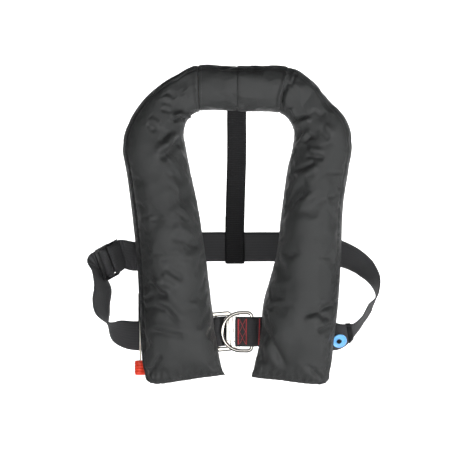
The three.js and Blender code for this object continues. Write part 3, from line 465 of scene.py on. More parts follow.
def swell(points):
    tube = grid_mesh("swelling", points, closed=True, capped=True)
    piece = bpy.data.objects.new("swelling", tube)
    bpy.context.scene.collection.objects.link(piece)
    count = len(points)
    edge = [i * ROUND + j for i in range(count) for j in (0, FRONT_CELLS)]
    ends = [i * ROUND + j for i in (0, 1, count - 2, count - 1) for j in range(ROUND)]
    behind = [i * ROUND + j for i in range(count) for j in range(FRONT_CELLS + 1, ROUND)]
    held = piece.vertex_groups.new(name="held")
    held.add(behind, 0.25, "REPLACE")
    held.add(edge + ends, 1.0, "REPLACE")
    cloth = piece.modifiers.new("air", "CLOTH")
    settings = cloth.settings
    settings.quality = 5
    settings.mass = 0.2
    settings.tension_stiffness = settings.compression_stiffness = 14
    settings.shear_stiffness = 6
    settings.bending_stiffness = 0.35
    settings.use_pressure = True
    settings.uniform_pressure_force = 3.2
    settings.shrink_min = -0.018
    settings.vertex_group_mass = "held"
    settings.effector_weights.gravity = 0
    cloth.collision_settings.use_collision = False
    for step in range(1, 21):
        bpy.context.scene.frame_set(step)
    evaluated = piece.evaluated_get(bpy.context.evaluated_depsgraph_get())
    moved = np.zeros(len(tube.vertices) * 3)
    evaluated.data.vertices.foreach_get("co", moved)
    bpy.context.scene.frame_set(1)
    bpy.data.objects.remove(piece)
    shift = moved.reshape(points.shape) - points
    far = np.linalg.norm(shift, axis=2, keepdims=True)
    cap = np.where(np.arange(ROUND) <= FRONT_CELLS, FRONT_CAP, BACK_CAP)[None, :, None]
    kept = points + shift * np.tanh(far / cap) * cap / np.maximum(far, 1e-9)
    furthest = round(float(far.max()) * 1000, 1)
    print("the air moved the cloth up to", furthest, "mm, kept under", FRONT_CAP * 1000)
    return kept


def twice_as_fine(values, around):
    """The grid with a new row or column between each two, on a smooth curve through them."""
    axis = 1 if around else 0
    if around:
        before, after = np.roll(values, 1, axis), np.roll(values, -1, axis)
        after2 = np.roll(values, -2, axis)
        between = (9 * (values + after) - before - after2) / 16
        out = np.stack([values, between], axis=2)
        return out.reshape(values.shape[0], -1, *values.shape[2:])
    ends = np.concatenate([values[:1], values, values[-1:]])
    between = (9 * (ends[1:-2] + ends[2:-1]) - ends[:-3] - ends[3:]) / 16
    out = np.empty((2 * len(values) - 1, *values.shape[1:]))
    out[0::2], out[1::2] = values, between
    return out


soft = swell(rings)
cloth = twice_as_fine(twice_as_fine(soft, True), False)
fine_station = np.interp(np.arange(len(cloth)) / 2, np.arange(len(station_of)), station_of)
fine_along = np.interp(np.arange(len(cloth)) / 2, np.arange(len(along)), along)
F = 2 * FRONT_CELLS
R = cloth.shape[1]
print("finished cloth:", cloth.shape[0], "x", R, "points, cells of about", CELL * 500, "mm")

# %% [markdown]
# ## Folds listed one by one
# Air alone gives an even pillow. The folds that make this jacket itself come from how it is packed and
# how it hangs: a pinch where each lobe turns into the collar, soft diagonals over the inflator, and
# creases that fan out of the bottom corners. Each fold is a short line on the front. The cloth sinks
# into a valley along it and rises to a ridge beside it, and a little noise keeps the line from looking
# ruled.

# %% Fold tools
FOLDS = []  # (points [x, z] in mm, width mm, depth mm, ridge side, ridge share)


def fold(points, width, depth, ridge=1, share=0.6):
    FOLDS.append((np.array(points, dtype=float) * MM, width * MM, depth * MM, ridge, share))


def outward_of(grid):
    """The direction straight out of the pillow, at each point of its grid."""
    around = np.roll(grid, -1, 1) - np.roll(grid, 1, 1)
    found = np.cross(np.gradient(grid, axis=0), around)
    found = found / np.maximum(np.linalg.norm(found, axis=2, keepdims=True), 1e-12)
    return -found if found[len(grid) // 2, F // 2, 1] > 0 else found


def fold_height(x, z, shape):
    """How far each point is moved outward by one fold."""
    points, width, depth, ridge, share = shape
    best = np.full(x.shape, 1e9)
    side = np.zeros(x.shape)
    part = np.zeros(x.shape)
    lengths = np.linalg.norm(np.diff(points, axis=0), axis=1)
    total, done = lengths.sum(), 0.0
    for (a, b), length in zip(zip(points[:-1], points[1:]), lengths):
        way = (b - a) / length
        t = np.clip((x - a[0]) * way[0] + (z - a[1]) * way[1], 0, length)
        dx, dz = x - a[0] - t * way[0], z - a[1] - t * way[1]
        away = np.hypot(dx, dz)
        nearer = away < best
        best = np.where(nearer, away, best)
        side = np.where(nearer, np.sign(dx * -way[1] + dz * way[0]), side)
        part = np.where(nearer, (done + t) / total, part)
        done += length
    across = best * side * ridge
    fade = np.clip(np.sin(np.pi * np.clip(part, 0.0, 1.0)) * 1.6 + 0.12, 0, 1)
    valley = -np.exp(-((across / width) ** 2))
    beside = share * np.exp(-(((across - 1.9 * width) / (1.25 * width)) ** 2))
    return depth * fade * (valley + beside)


# %% The folds of this jacket
# left shoulder, under the collar
fold([(-100, -15), (-88, -12), (-74, -16)], 3.2, 4.6, 1, 0.8)
fold([(-73, -1), (-69, -8), (-70, -16)], 2.4, 2.4, -1)
fold([(-84, -44), (-97, -56), (-119, -76)], 6.5, 4.4, -1, 0.75)
fold([(-106, -30), (-120, -52)], 5, 2.0, 1)
fold([(-116, 1), (-102, -2)], 3.2, 1.6, 1)
fold([(-109, 30), (-101, 24), (-97, 18)], 4, 2.0, -1)
fold([(-84, -64), (-75, -70), (-70, -83)], 3.6, 2.0, 1)
fold([(-140, -20), (-126, -30)], 5, 1.8, 1)
# right shoulder, with the deep pinch into the collar
fold([(83, 68), (79, 47), (73, 31), (69, 18), (68, 2)], 2.6, 4.8, -1, 0.6)
fold([(90, 60), (87, 48), (80, 36)], 3.0, 2.6, -1, 0.5)
fold([(78, 2), (82, -6), (87, -14)], 2.8, 3.0, 1)
fold([(84, -17), (96, -14), (110, -8)], 3.0, 3.6, -1, 0.8)
fold([(85, -50), (93, -43), (101, -31)], 4.2, 3.2, -1)
fold([(98, -50), (108, -42), (118, -38)], 3.6, 2.6, 1)
fold([(104, -68), (118, -72), (133, -72)], 4.4, 2.8, 1)
fold([(86, -92), (100, -90), (113, -84), (119, -78)], 4, 2.6, -1)
fold([(128, -30), (142, -44)], 5, 2.0, 1)
# left lobe
fold([(-104, -194), (-85, -199), (-58, -210)], 7, 2.6, 1)
fold([(-112, -242), (-98, -251), (-83, -260)], 5, 2.4, -1, 0.9)
fold([(-136, -262), (-122, -279), (-106, -288)], 4.2, 3.8, 1, 0.9)
fold([(-133, -297), (-110, -307), (-92, -327)], 4.5, 3.0, 1)
fold([(-146, -292), (-130, -286)], 3.2, 1.6, 1)
fold([(-136, -340), (-117, -342), (-83, -350)], 4.6, 2.8, 1)
fold([(-118, -377), (-127, -390), (-137, -407)], 4, 2.6, -1)
fold([(-47, -352), (-36, -334)], 5, 2.0, 1)
fold([(-62, -120), (-82, -136), (-108, -140)], 10, 1.6, 1)
fold([(-140, -150), (-118, -168)], 9, 1.5, -1)
# right lobe
fold([(38, -330), (50, -353), (64, -377), (76, -399)], 6, 3.2, -1, 0.9)
fold([(44, -312), (48, -319)], 3.4, 1.8, 1)
fold([(101, -315), (124, -311), (142, -325)], 5, 3.0, -1, 0.8)
fold([(122, -341), (134, -337), (146, -330)], 4, 2.8, 1)
fold([(126, -309), (146, -299)], 3.6, 2.2, -1)
fold([(116, -400), (132, -417)], 3.4, 2.2, 1)
fold([(104, -392), (122, -404)], 4, 1.6, -1)
fold([(72, -150), (96, -158), (128, -150)], 10, 1.6, -1)
fold([(60, -230), (78, -262)], 9, 1.5, 1)
print(len(FOLDS), "folds")

# %% Press the folds into the cloth
def sway(grid, scale, seed):
    """Smooth noise at each point, always the same."""
    flat = grid.reshape(-1, 3) / scale
    values = [noise.noise(Vector((p[0] + seed, p[1], p[2] - seed))) for p in flat]
    return np.array(values).reshape(grid.shape[:2])


outward = outward_of(cloth)
x, z = cloth[:, :, 0], cloth[:, :, 2]
wander = sway(cloth, 0.018, 3.1) * 0.0017
DEEPER = 1.45  # every fold is pressed this many times as deep as it is listed
lift = np.zeros(x.shape)
for shape in FOLDS:
    lift += DEEPER * fold_height(x + wander, z - wander, shape)
columns = np.arange(R)
to_edge = np.minimum(np.abs(columns), np.abs(F - columns))
front = (columns <= F) * (0.25 + 0.75 * np.clip(to_edge / 7, 0, 1))
lift = lift * front[None, :]
broad = sway(cloth, 0.045, 8.4) * 0.0020 + sway(cloth, 0.016, 2.2) * 0.0009
calm = np.clip(np.where(columns <= F, to_edge, to_edge * 0.5) / 8, 0.05, 1)
calm = calm * np.where(columns <= F, 1, 0.25)
cloth = cloth + outward * (lift + broad * calm[None, :])[:, :, None]
print("folds press the cloth from", round(lift.min() * 1000, 1), "to", round(lift.max() * 1000, 1), "mm")

# %% [markdown]
# ## Seams and hems
# A sewn seam pulls the cloth in and puckers it. Here the rows at the seams are drawn in by 0.2 to 1.6 mm,
# and small ripples fade out beside them. The outer edge of a front cover is hemmed, because it is the side
# that opens: a strip about six millimetres wide, with a line of stitches along it.

# %% Draw in the seams, and hem the edges
HEM = 0.0058
SEAM_DRAWS = (0.0007, 0.0002, 0.0016)  # at the left collar seam, the neck seam and the right collar seam


def seam_row(station):
    return int(np.argmin(np.abs(fine_station - station)))


seam_rows = [0, seam_row(-COLLAR_SEAM), seam_row(0.0), seam_row(COLLAR_SEAM), len(cloth) - 1]
run_round = np.cumsum(np.linalg.norm(np.diff(cloth[:, : F + 1], axis=1), axis=2), axis=1)
run_round = np.concatenate([np.zeros((len(cloth), 1)), run_round], axis=1)
from_outer = run_round[:, -1:] - run_round
chord = cloth[:, F] - cloth[:, 0]
chord[:, 1] = 0
chord /= np.linalg.norm(chord, axis=1, keepdims=True)
reach = np.einsum("ijk,ik->ij", cloth[:, : F + 1] - cloth[:, :1], chord)
seen = np.maximum.accumulate((reach.max(axis=1, keepdims=True) - reach)[:, ::-1], axis=1)[:, ::-1]
seen = seen + from_outer * 0.001  # how far in from the silhouette each point lies, as seen from the front
from_inner = run_round
lift = np.zeros(cloth.shape[:2])
ripple = np.sin(run_round / 0.0105 * 2 * math.pi + 3 * sway(cloth, 0.03, 5.5)[:, : F + 1])
for row, draw in zip(seam_rows[1:4], SEAM_DRAWS):
    away = np.abs(fine_along - fine_along[row])[:, None]
    pucker = 0.25 * draw * ripple * np.exp(-away / 0.006)
    lift[:, : F + 1] += -draw * np.exp(-((away / 0.0022) ** 2)) + pucker
    lift[:, F:] -= 0.0008 * np.exp(-((away / 0.002) ** 2))
left_seam_swell = 0.0012 * np.exp(-(((fine_along - fine_along[seam_rows[1]] + 0.0035) / 0.0028) ** 2))
lift[:, : F + 1] += left_seam_swell[:, None]
for row in (seam_rows[0], seam_rows[-1]):
    away = np.abs(fine_along - fine_along[row])[:, None]
    lift[:, : F + 1] += 0.0007 * ripple * np.exp(-(((away - 0.010) / 0.009) ** 2))
along_ripple = np.sin(fine_along[:, None] / 0.012 * 2 * math.pi + 4 * sway(cloth, 0.035, 1.2)[:, : F + 1])
lift[:, : F + 1] += -0.0012 * np.exp(-(((seen - HEM - 0.0008) / 0.0014) ** 2))
lift[:, : F + 1] += 0.0003 * along_ripple * np.exp(-(((seen - HEM - 0.005) / 0.005) ** 2))
lift[:, : F + 1] += 0.0003 * along_ripple * np.exp(-(((from_inner - 0.007) / 0.007) ** 2))
outward = outward_of(cloth)
cloth = cloth + outward * lift[:, :, None]
print("seams at", [round(float(fine_along[r]), 3) for r in seam_rows])

# %% [markdown]
# ## Cutting the panels
# The one tube is now cut along its seams into the eight panels that a sewing room would join: two front
# covers, two collar covers, two back panels and two neck linings. Each is turned in at its cut edges, so
# that no gap opens between two of them, and gets nearly a millimetre of thickness on its inner side and
# one level of subdivision.

# %% Panels
PANEL_THICK = 0.0009
TURN_IN = 0.0021


def turned_in(values, normals):
    """The grid with one more row at each end, which goes straight into the pillow."""
    first, last = values[:1] - normals[:1] * TURN_IN, values[-1:] - normals[-1:] * TURN_IN
    return np.concatenate([first, values, last])


def panel(name, rows, columns_used, material):
    used = slice(rows[0], rows[1] + 1)
    points, normals = cloth[used][:, columns_used], outward[used][:, columns_used]
    points = turned_in(points, normals)
    normals = np.concatenate([normals[:1], normals, normals[-1:]])
    points = turned_in(points.swapaxes(0, 1), normals.swapaxes(0, 1)).swapaxes(0, 1)
    length = fine_along[used]
    length = np.concatenate([[length[0] - TURN_IN], length, [length[-1] + TURN_IN]])
    across = np.cumsum(np.linalg.norm(np.diff(points, axis=1), axis=2), axis=1)
    across = np.concatenate([np.zeros((len(points), 1)), across], axis=1)
    across -= across[:, points.shape[1] // 2][:, None]
    uv = np.stack([across, np.repeat(length[:, None], points.shape[1], axis=1)], axis=2)
    mesh = grid_mesh(name, points, uv=uv)
    piece = link(name, mesh, material, "jacket")
    middle = mesh.polygons[len(mesh.polygons) // 2]
    toward = Vector((0, -1 if columns_used[0] == 0 else 1, 0))
    if middle.normal.dot(toward) < 0:
        mesh.flip_normals()
    thick = piece.modifiers.new("cloth", "SOLIDIFY")
    thick.thickness = PANEL_THICK
    thick.offset = -1
    finer = piece.modifiers.new("smooth", "SUBSURF")
    finer.levels = finer.render_levels = 1
    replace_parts(piece, name.replace("_cloth", ""))
    return piece


front_columns = list(range(F + 1))
back_columns = list(range(F, R)) + [0]
fronts = ("left_front_cover", "left_collar_cover", "right_collar_cover", "right_front_cover")
backs = ("left_back_panel", "left_neck_lining", "right_neck_lining", "right_back_panel")
sewn = ((fronts, front_columns, shell_nylon), (backs, back_columns, lining_nylon))
for names, used_columns, finish in sewn:
    for k, name in enumerate(names):
        panel(name + "_cloth", seam_rows[k : k + 2], used_columns, finish)

# %% [markdown]
# ## The hem strip
# The outer edge of each front cover is the side that bursts open, so it is folded and bound with a flat
# strip of darker tape. It lies half a millimetre proud of the cover, which draws a fine line all the way
# down the lobe. The strip narrows towards the bottom, where the cover's corner is turned.

# %% Bind the outer edges
binding_tape = woven_nylon("dark_binding_tape", "#141516", "#1E1F20", 0.6, pitch=0.0011, depth=0.00015)
STRIP_CELLS, STRIP_PROUD = 18, 0.0005


def strip_width(row, rows):
    """Full width along the lobe, about a third of it at the bottom corner."""
    to_bottom = abs(fine_along[row] - fine_along[rows[0]])
    return HEM * (0.35 + 0.65 * min(1, to_bottom / 0.12))


def hem_strip(name, rows):
    points, uv = [], []
    for row in rows:
        runs = from_outer[row][::-1]
        wide = np.interp(strip_width(row, rows), seen[row][::-1], runs)
        line, up = cloth[row, : F + 1][::-1], outward[row, : F + 1][::-1]
        line_points, widths = [], []
        for k in range(STRIP_CELLS + 1):
            away = wide * k / STRIP_CELLS
            place = np.array([np.interp(away, runs, line[:, c]) for c in range(3)])
            lifted = np.array([np.interp(away, runs, up[:, c]) for c in range(3)])
            line_points.append(place + lifted * STRIP_PROUD)
            widths.append(away)
        points.append([cloth[row, F + 2] + outward[row, F + 2] * STRIP_PROUD, *line_points])
        uv.append([(w, fine_along[row]) for w in [-0.002, *widths]])
    mesh = grid_mesh(name, points, uv=uv)
    piece = link(name, mesh, binding_tape, "jacket")
    middle = mesh.polygons[len(mesh.polygons) // 2]
    if middle.normal.dot(Vector(outward[rows[len(rows) // 2], F])) < 0:
        mesh.flip_normals()
    thick = piece.modifiers.new("tape", "SOLIDIFY")
    thick.thickness = 0.0007
    thick.offset = -1
    print(name, round(abs(fine_along[rows[-1]] - fine_along[rows[0]]), 3), "m long")
    return piece


hem_strip("left_hem_strip", list(range(seam_rows[0] + 2, seam_rows[1] - 1)))
hem_strip("right_hem_strip", list(range(seam_rows[4] - 2, seam_rows[3] + 1, -1)))

# %% [markdown]
# ## Stitches
# A sewing machine leaves a row of short raised threads. Each one here is a small tube with closed ends
# that lies on the cloth, about 3 mm long for an ordinary seam. A safety seam on webbing is a dense
# zigzag instead.

# %% Stitch tool
STITCH_SHAPE = ((0, 0.35, -0.5), (0.16, 0.95, 0.35), (0.5, 1.0, 0.75), (0.84, 0.95, 0.35), (1, 0.35, -0.5))
STITCH_SIDES = 6  # each entry above is a share of the length, then a thickness and a rise in radii


def stitches(name, line, normals, material, stitch=0.003, gap=0.0011, radius=0.00028, tilt=0.0):
    """A row of threads along a line of points; tilt turns each one across the line, for a zigzag."""
    line, normals = np.asarray(line, dtype=float), np.asarray(normals, dtype=float)
    run = run_along(line)
    count = max(int(run[-1] / (stitch + gap)), 1)
    vertices, faces = [], []

    def at(values, distance):
        return np.array([np.interp(distance, run, values[:, k]) for k in range(3)])

    for k in range(count):
        start = (k + 0.5) * run[-1] / count - stitch / 2
        a, b = at(line, start), at(line, start + stitch)
        up = at(normals, start + stitch / 2)
        up /= np.linalg.norm(up)
        way = b - a
        way /= np.linalg.norm(way)
        lean = np.cross(up, way) * (tilt if k % 2 else -tilt)
        a, b = a - lean, b + lean
        way = b - a
        size = np.linalg.norm(way)
        way /= size
        beside = np.cross(up, way)
        base = len(vertices)
        for share, fat, rise in STITCH_SHAPE:
            middle = a + way * size * share + up * radius * rise
            for side in range(STITCH_SIDES):
                angle = side * math.pi / 3
                vertices.append(middle + (beside * math.cos(angle) + up * math.sin(angle)) * radius * fat)
        last_ring = base + (len(STITCH_SHAPE) - 1) * STITCH_SIDES
        for ring in range(base, last_ring, STITCH_SIDES):
            for side in range(STITCH_SIDES):
                p, q = ring + side, ring + (side + 1) % STITCH_SIDES
                faces.append((p, q, q + STITCH_SIDES, p + STITCH_SIDES))
        faces.append(tuple(base + STITCH_SIDES - 1 - t for t in range(STITCH_SIDES)))
        faces.append(tuple(last_ring + t for t in range(STITCH_SIDES)))
    mesh = bpy.data.meshes.new(name)
    mesh.from_pydata([tuple(v) for v in vertices], [], faces)
    turn_outward(mesh)
    return link(name, mesh, material, "jacket")


def cloth_line(rows, distance, from_edge):
    """Points and outward normals on the front, at one distance from its outer or inner edge."""
    points, up = [], []
    for row in rows:
        runs = (seen if from_edge == "outer" else from_inner)[row]
        order = np.argsort(runs)
        points.append([np.interp(distance, runs[order], cloth[row, : F + 1][order, k]) for k in range(3)])
        up.append([np.interp(distance, runs[order], outward[row, : F + 1][order, k]) for k in range(3)])
    return points, up


# %% Stitch the covers
for name, (start, end) in {"left": (0, 1), "right": (3, 4)}.items():
    rows = range(seam_rows[start] + 4, seam_rows[end] - 4)
    line, up = cloth_line(rows, HEM - 0.0016, "outer")
    line = np.array(line) + np.array(up) * STRIP_PROUD
    stitches(f"{name}_hem_stitches", line, up, black_thread)
for label, row in (
    ("left_collar_seam", seam_rows[1] + 2), ("right_collar_seam", seam_rows[3] - 2),
    ("neck_seam", seam_rows[2] + 2), ("left_bottom_hem", 3), ("right_bottom_hem", len(cloth) - 4),
):
    stitches(f"{label}_stitches", cloth[row, 4 : F - 3], outward[row, 4 : F - 3], black_thread)

# %% [markdown]
# ## Straps
# Webbing bends easily over its thickness and hardly at all over its width, so a strap is a flat section
# swept along a curve, with the direction of its width given at each key. A cloth simulation would spoil
# its crisp edges. The section has round, slightly swollen selvedges, as woven tape has.

# %% Strap tool
BELT_WIDTH, BELT_THICK, STRAP_WIDTH = 0.045, 0.002, 0.030
SLIDER_PLACE = np.array((-204.0, 57.0, -235.0))
SNUG = 0.06  # the slider's slots press the webbing this share wider
HALF_SECTION = 9


def strap_frames(keys, steps):
    """Middle points, width directions and normals along a strap; keys are x, y, z, wx, wy, wz in mm."""
    keys = np.asarray(keys, dtype=float)
    shares = np.linspace(0, 1, steps + 1)
    middle = smooth_curve(keys[:, :3], shares)
    tangent = np.gradient(middle, axis=0)
    tangent /= np.linalg.norm(tangent, axis=1, keepdims=True)
    widths = keys[:, 3:6] / np.linalg.norm(keys[:, 3:6], axis=1, keepdims=True)
    places = shares * (len(keys) - 1)
    across = np.array([np.interp(places, np.arange(len(keys)), widths[:, k]) for k in range(3)]).T
    normal = np.cross(tangent, across)
    normal /= np.linalg.norm(normal, axis=1, keepdims=True)
    across = np.cross(normal, tangent)
    return middle * MM, across, normal


def strap(name, frames, width, thick, material, seed, cad):
    middle, across, normal = frames
    run = run_along(middle)
    section = []
    for side in (1, -1):
        for k in range(HALF_SECTION):
            place = -side * (1 - 2 * k / (HALF_SECTION - 1))
            edge = 1 - abs(place)
            selvedge = 1 + 0.12 * math.exp(-(((edge - 0.06) / 0.05) ** 2))
            plump = min(1, math.sqrt(max(edge, 0) * 2 * width / thick) + 0.25) * selvedge
            section.append((place * width / 2, side * thick / 2 * min(plump, 1.1)))
    rows, uv = [], []
    for i, (p, a, n) in enumerate(zip(middle, across, normal)):
        drift = 0.00035 * noise.noise(Vector((run[i] * 30, seed, 0.5)))
        cup = 0.0003 * noise.noise(Vector((run[i] * 18, seed, 7.5)))
        snug = 1 + SNUG * math.exp(-((np.linalg.norm(p - SLIDER_PLACE * MM) / 0.02) ** 2))
        cups = [cup * (1 - (2 * u / width) ** 2) for u, _ in section]
        rows.append([p + a * (u * snug + drift) + n * (w + c) for (u, w), c in zip(section, cups)])
        uv.append([(u, run[i]) for u, _ in section] + [(section[0][0], run[i])])
    mesh = grid_mesh(name, rows, closed=True, capped=True, uv=uv)
    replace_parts(link(name, mesh, material, "jacket"), cad)
    print(name, round(run[-1], 3), "m long")


# %% [markdown]
# ## The slider's own axes
# Both belts thread through one flat slider at the wearer's right side. It hangs askew, so its bars run
# along one axis, the belts cross them along a second, and a third looks forward. The keys of the belts
# near it are given in those axes.

# %% Slider axes
SLIDER_HALF, SLIDER_BAR, SLIDER_THICK = 14.5, 4.5, 3.2
bars = np.array((-0.31, -0.38, 0.87))
bars /= np.linalg.norm(bars)
cross = np.array((-0.86, -0.4, -0.5))
cross -= bars * cross.dot(bars)
cross /= np.linalg.norm(cross)
looks = np.cross(bars, cross)
looks = -looks if looks[1] > 0 else looks


def on_slider(c, n):
    return [*(SLIDER_PLACE + cross * c + looks * n), *bars]


# %% Belt keys
REST_Y, BACK_Y, BACK_Z, BELT_Z = 28.5, 74, -211, -343
FRAME_LEAN = math.radians(5)  # how far the closure frame hangs out of square
FRONT_STRETCH = -0.333  # the belt's front stretch lies below this height
RIGHT_STEPS, LEFT_STEPS, BACK_STEPS, KEEPER_STEPS = 820, 640, 300, 130
OFF = SLIDER_THICK / 2 + 0.8 + 1
TAIL = OFF + 3.6
bar = SLIDER_BAR / 2 - SLIDER_HALF
hook_x, hook_y, around_hook = 1, 33.7, 2.2 + 0.6 + 1
ring_x, over_ring = 22.5, 25.9 - 2.75 - 0.5 - 1
under, over = REST_Y + 1.7, REST_Y - 0.9
slider_loop = [
    (bar - 16, OFF - 3.2), (bar - 7, OFF - 0.6), (bar, OFF + 0.2), (bar + 2.8, OFF * 0.86), (bar + 4.15, 0),
    (bar + 2.8, -OFF * 0.86), (bar, -OFF - 0.2), (bar - 7, 0.3 - OFF), (bar - 16, 0.9 - OFF),
]
round_body = [
    (-160, 69, -226, -0.04, -0.1, 1), (-135, 70.5, -218, 0, 0, 1), (-100, 72.5, -212, 0, 0, 1),
    (-50, 73.7, -211, 0, 0, 1), (0, 74, -211, 0, 0, 1), (50, 73.7, -211, 0, 0, 1), (100, 70, -212, 0, 0, 1),
    (130, 65, -214, 0, -0.2, 0.98), (160, 62, -221, 0.1, -0.45, 0.85), (185, 58, -232, 0.32, -0.62, 0.66),
    (202, 54.5, -245, 0.45, -0.75, 0.45), (215, 51, -263, 0.33, -0.9, 0.23),
    (218.5, 47.5, -286, 0.03, -1, 0.04), (208, 44, -305, -0.26, -0.96, 0.04),
    (196.5, 40.5, -324, -0.2, -0.96, 0.1), (183, 37.5, -339, -0.13, -0.88, 0.36),
    (169, 34.5, -347, -0.1, -0.68, 0.7), (154, 32.5, -350.5, -0.05, -0.36, 0.93),
    (134, 30.4, -348, 0, -0.06, 1), (112, REST_Y, -344, 0, 0, 1),
]
to_hook = [
    (100, REST_Y), (66, REST_Y), (50, REST_Y + 0.8), (38, under), (ring_x + 4, under), (13, hook_y + 1),
    (6.5, hook_y + around_hook - 0.7), (hook_x, hook_y + around_hook),
    (hook_x - around_hook * 0.71, hook_y + around_hook * 0.71), (hook_x - around_hook, hook_y),
    (hook_x - around_hook * 0.71, hook_y - around_hook * 0.71), (hook_x, hook_y - around_hook),
    (7, hook_y - around_hook - 0.5), (11, over + 0.5), (ring_x - 8, over - 0.2),
    (ring_x - 4.2, over_ring + 1.6), (ring_x, over_ring), (ring_x + 4.2, over_ring + 1.6),
    (ring_x + 8, over - 0.2), (ring_x + 13, over),
]
right_keys = [on_slider(*k) for k in slider_loop] + round_body
right_keys += [(x_mm, y_mm, BELT_Z, 0, 0, 1) for x_mm, y_mm in to_hook]
n = OFF
thread = [
    (-32, -TAIL - 1.4), (-22, -TAIL - 0.6), (-12, -TAIL), (-6.6, 1 - TAIL), (-4.7, -1), (-3.2, n - 0.7),
    (0, n + 0.4), (3.4, n - 0.6), (5.6, 0), (7.6, -n + 0.2), (11, -n - 0.9), (17.5, -n - 1.3),
]
left_side = [
    (-211, 50, -276, -0.56, -0.8, 0.1), (-213, 46, -298, -0.56, -0.78, 0.28),
    (-209, 41, -321, -0.5, -0.66, 0.56), (-195, 37, -339, -0.4, -0.5, 0.76),
    (-172, 33.5, -347.5, -0.2, -0.25, 0.94), (-150, 31, -349.5, -0.04, -0.06, 0.99),
    (-126, REST_Y + 0.4, -347, 0, 0, 1), (-106, REST_Y, -343.5, 0, 0, 1),
]
frame_front, frame_thick, frame_left, frame_bar, bar_half = 29.2, 3, -47.6, -31.5, 2.4
frame_middle = frame_left + 21
before, behind = frame_front - 1.9, frame_front + frame_thick + 1.5
within = frame_front + frame_thick / 2
rail = frame_left + 3.5
tilt = math.sin(FRAME_LEAN)
wrap = [
    (-98, REST_Y), (-68, REST_Y), (-58, behind - 1.6), (rail - 2, behind + 0.1), (rail + 3.5, behind),
    (frame_bar - bar_half - 2.7, within), (frame_bar - bar_half - 0.4, before + 0.3),
    (frame_bar, before - 0.2),
    (frame_bar + bar_half + 0.4, before + 0.3), (frame_bar + bar_half + 2.3, within),
    (frame_bar + bar_half + 0.8, behind + 1.2), (frame_bar - 1, behind + 2.6), (rail, behind + 2.9),
    (rail - 14, behind + 2.6), (rail - 20, behind + 3.2), (rail - 22, behind + 4.6),
    (rail - 18, behind + 5.9), (rail - 6, behind + 6.1), (frame_bar, behind + 6.0), (-15.5, behind + 5.6),
]
left_keys = [on_slider(*k) for k in thread] + left_side
for k, (x_mm, y_mm) in enumerate(wrap):
    lean = tilt if k > 2 else 0
    left_keys.append((x_mm, y_mm, BELT_Z + lean * (x_mm - frame_middle), -lean, 0, 1))

# %% Make the belts
WOVEN_WIDTH = BELT_WIDTH + 0.0013  # the selvedges swell a little past the nominal width
right_frames = strap_frames(right_keys, RIGHT_STEPS)
left_frames = strap_frames(left_keys, LEFT_STEPS)
strap("right_belt_webbing", right_frames, WOVEN_WIDTH, BELT_THICK, harness_webbing, 1.0, "right_belt")
strap("left_belt_webbing", left_frames, WOVEN_WIDTH, BELT_THICK, harness_webbing, 2.0, "left_belt")

# %% Back strap, keepers and the small loop
front_y, back_y = BACK_Y - 2.5, BACK_Y + 2.5
low = BACK_Z - 22.5 - 1.8
x0, x1 = -1.4, -4.0
back_keys = [
    (x0, 22, 34), (x0, 22.4, 12), (x0, 25, -12), (x0, 44, -80), (-3.22, 62, -142), (x1, front_y - 0.6, -182),
    (x1, front_y, BACK_Z), (x1, front_y, low + 2), (x1, front_y + 1.2, low - 0.6), (x1, BACK_Y, low - 1.6),
    (x1, back_y - 1.2, low - 0.6), (x1, back_y, low + 2), (x1, back_y, BACK_Z), (x1, back_y, BACK_Z + 22.5),
    (x1, BACK_Y + 0.4, BACK_Z + 31.5), (x1, BACK_Y - 1.4, BACK_Z + 46.5),
]
back_frames = strap_frames([(*k, 1, 0, 0) for k in back_keys], BACK_STEPS)
strap("back_strap_webbing", back_frames, STRAP_WIDTH, BELT_THICK, narrow_webbing, 3.0, "back_strap")
out, flat, h = REST_Y + 2.3, 23.5, 22.5
for name, side in (("left", -1), ("right", 1)):
    keeper_keys = [
        (flat, h + 22), (flat, h + 8), (flat + 3, h + 3.4), (out - 0.4, h + 0.4), (out, h - 4), (out, 0),
        (out, 4 - h), (out - 0.4, -h - 0.4), (flat + 2, -h - 4), (flat - 1, -h - 9), (flat - 3.4, -h - 18),
    ]
    keys = [(side * 84, y, BELT_Z + z, 1, 0, 0) for y, z in keeper_keys]
    cad = f"{name}_belt_keeper"
    frames = strap_frames(keys, KEEPER_STEPS)
    strap(cad + "_webbing", frames, 0.032, 0.0014, narrow_webbing, 4.0 + side, cad)


def belt_loop(name, frames, centre_x, width, room, wall, material, cad):
    """A band sewn round the belt, between two places along it."""
    middle, across, normal = frames
    lower = [i for i in range(len(middle)) if middle[i][2] < FRONT_STRETCH]
    held = [i for i in lower if abs(middle[i][0] - centre_x) < width / 2]
    chosen = [held[round(k * (len(held) - 1) / 7)] for k in range(8)]
    a, b = BELT_WIDTH / 2 + room, BELT_THICK / 2 + room

    def ring(grow, i):
        points = []
        for k in range(40):
            turn = 2 * math.pi * k / 40
            u = math.copysign(abs(math.cos(turn)) ** 0.12, math.cos(turn)) * (a + grow)
            v = math.copysign(abs(math.sin(turn)) ** 0.5, math.sin(turn)) * (b + grow)
            points.append(middle[i] + across[i] * u + normal[i] * v)
        return points

    outside = [ring(wall, i) for i in chosen]
    inside = [ring(0, i) for i in reversed(chosen)]
    edge_in, edge_out = ring(wall * 0.5, chosen[0]), ring(wall * 0.5, chosen[-1])
    rows = outside + [edge_out] + inside + [edge_in] + outside[:1]
    run = run_along([row[0] for row in rows])
    uv = [[(run[i], k * 0.0024) for k in range(41)] for i in range(len(rows))]
    mesh = grid_mesh(name, rows, closed=True, uv=uv)
    weld(mesh, 1e-6)
    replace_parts(link(name, mesh, material, "jacket"), cad)


belt_loop(
    "right_belt_loop_webbing", right_frames, 0.175, 0.008, 0.0005, 0.0010, narrow_webbing, "right_belt_loop"
)

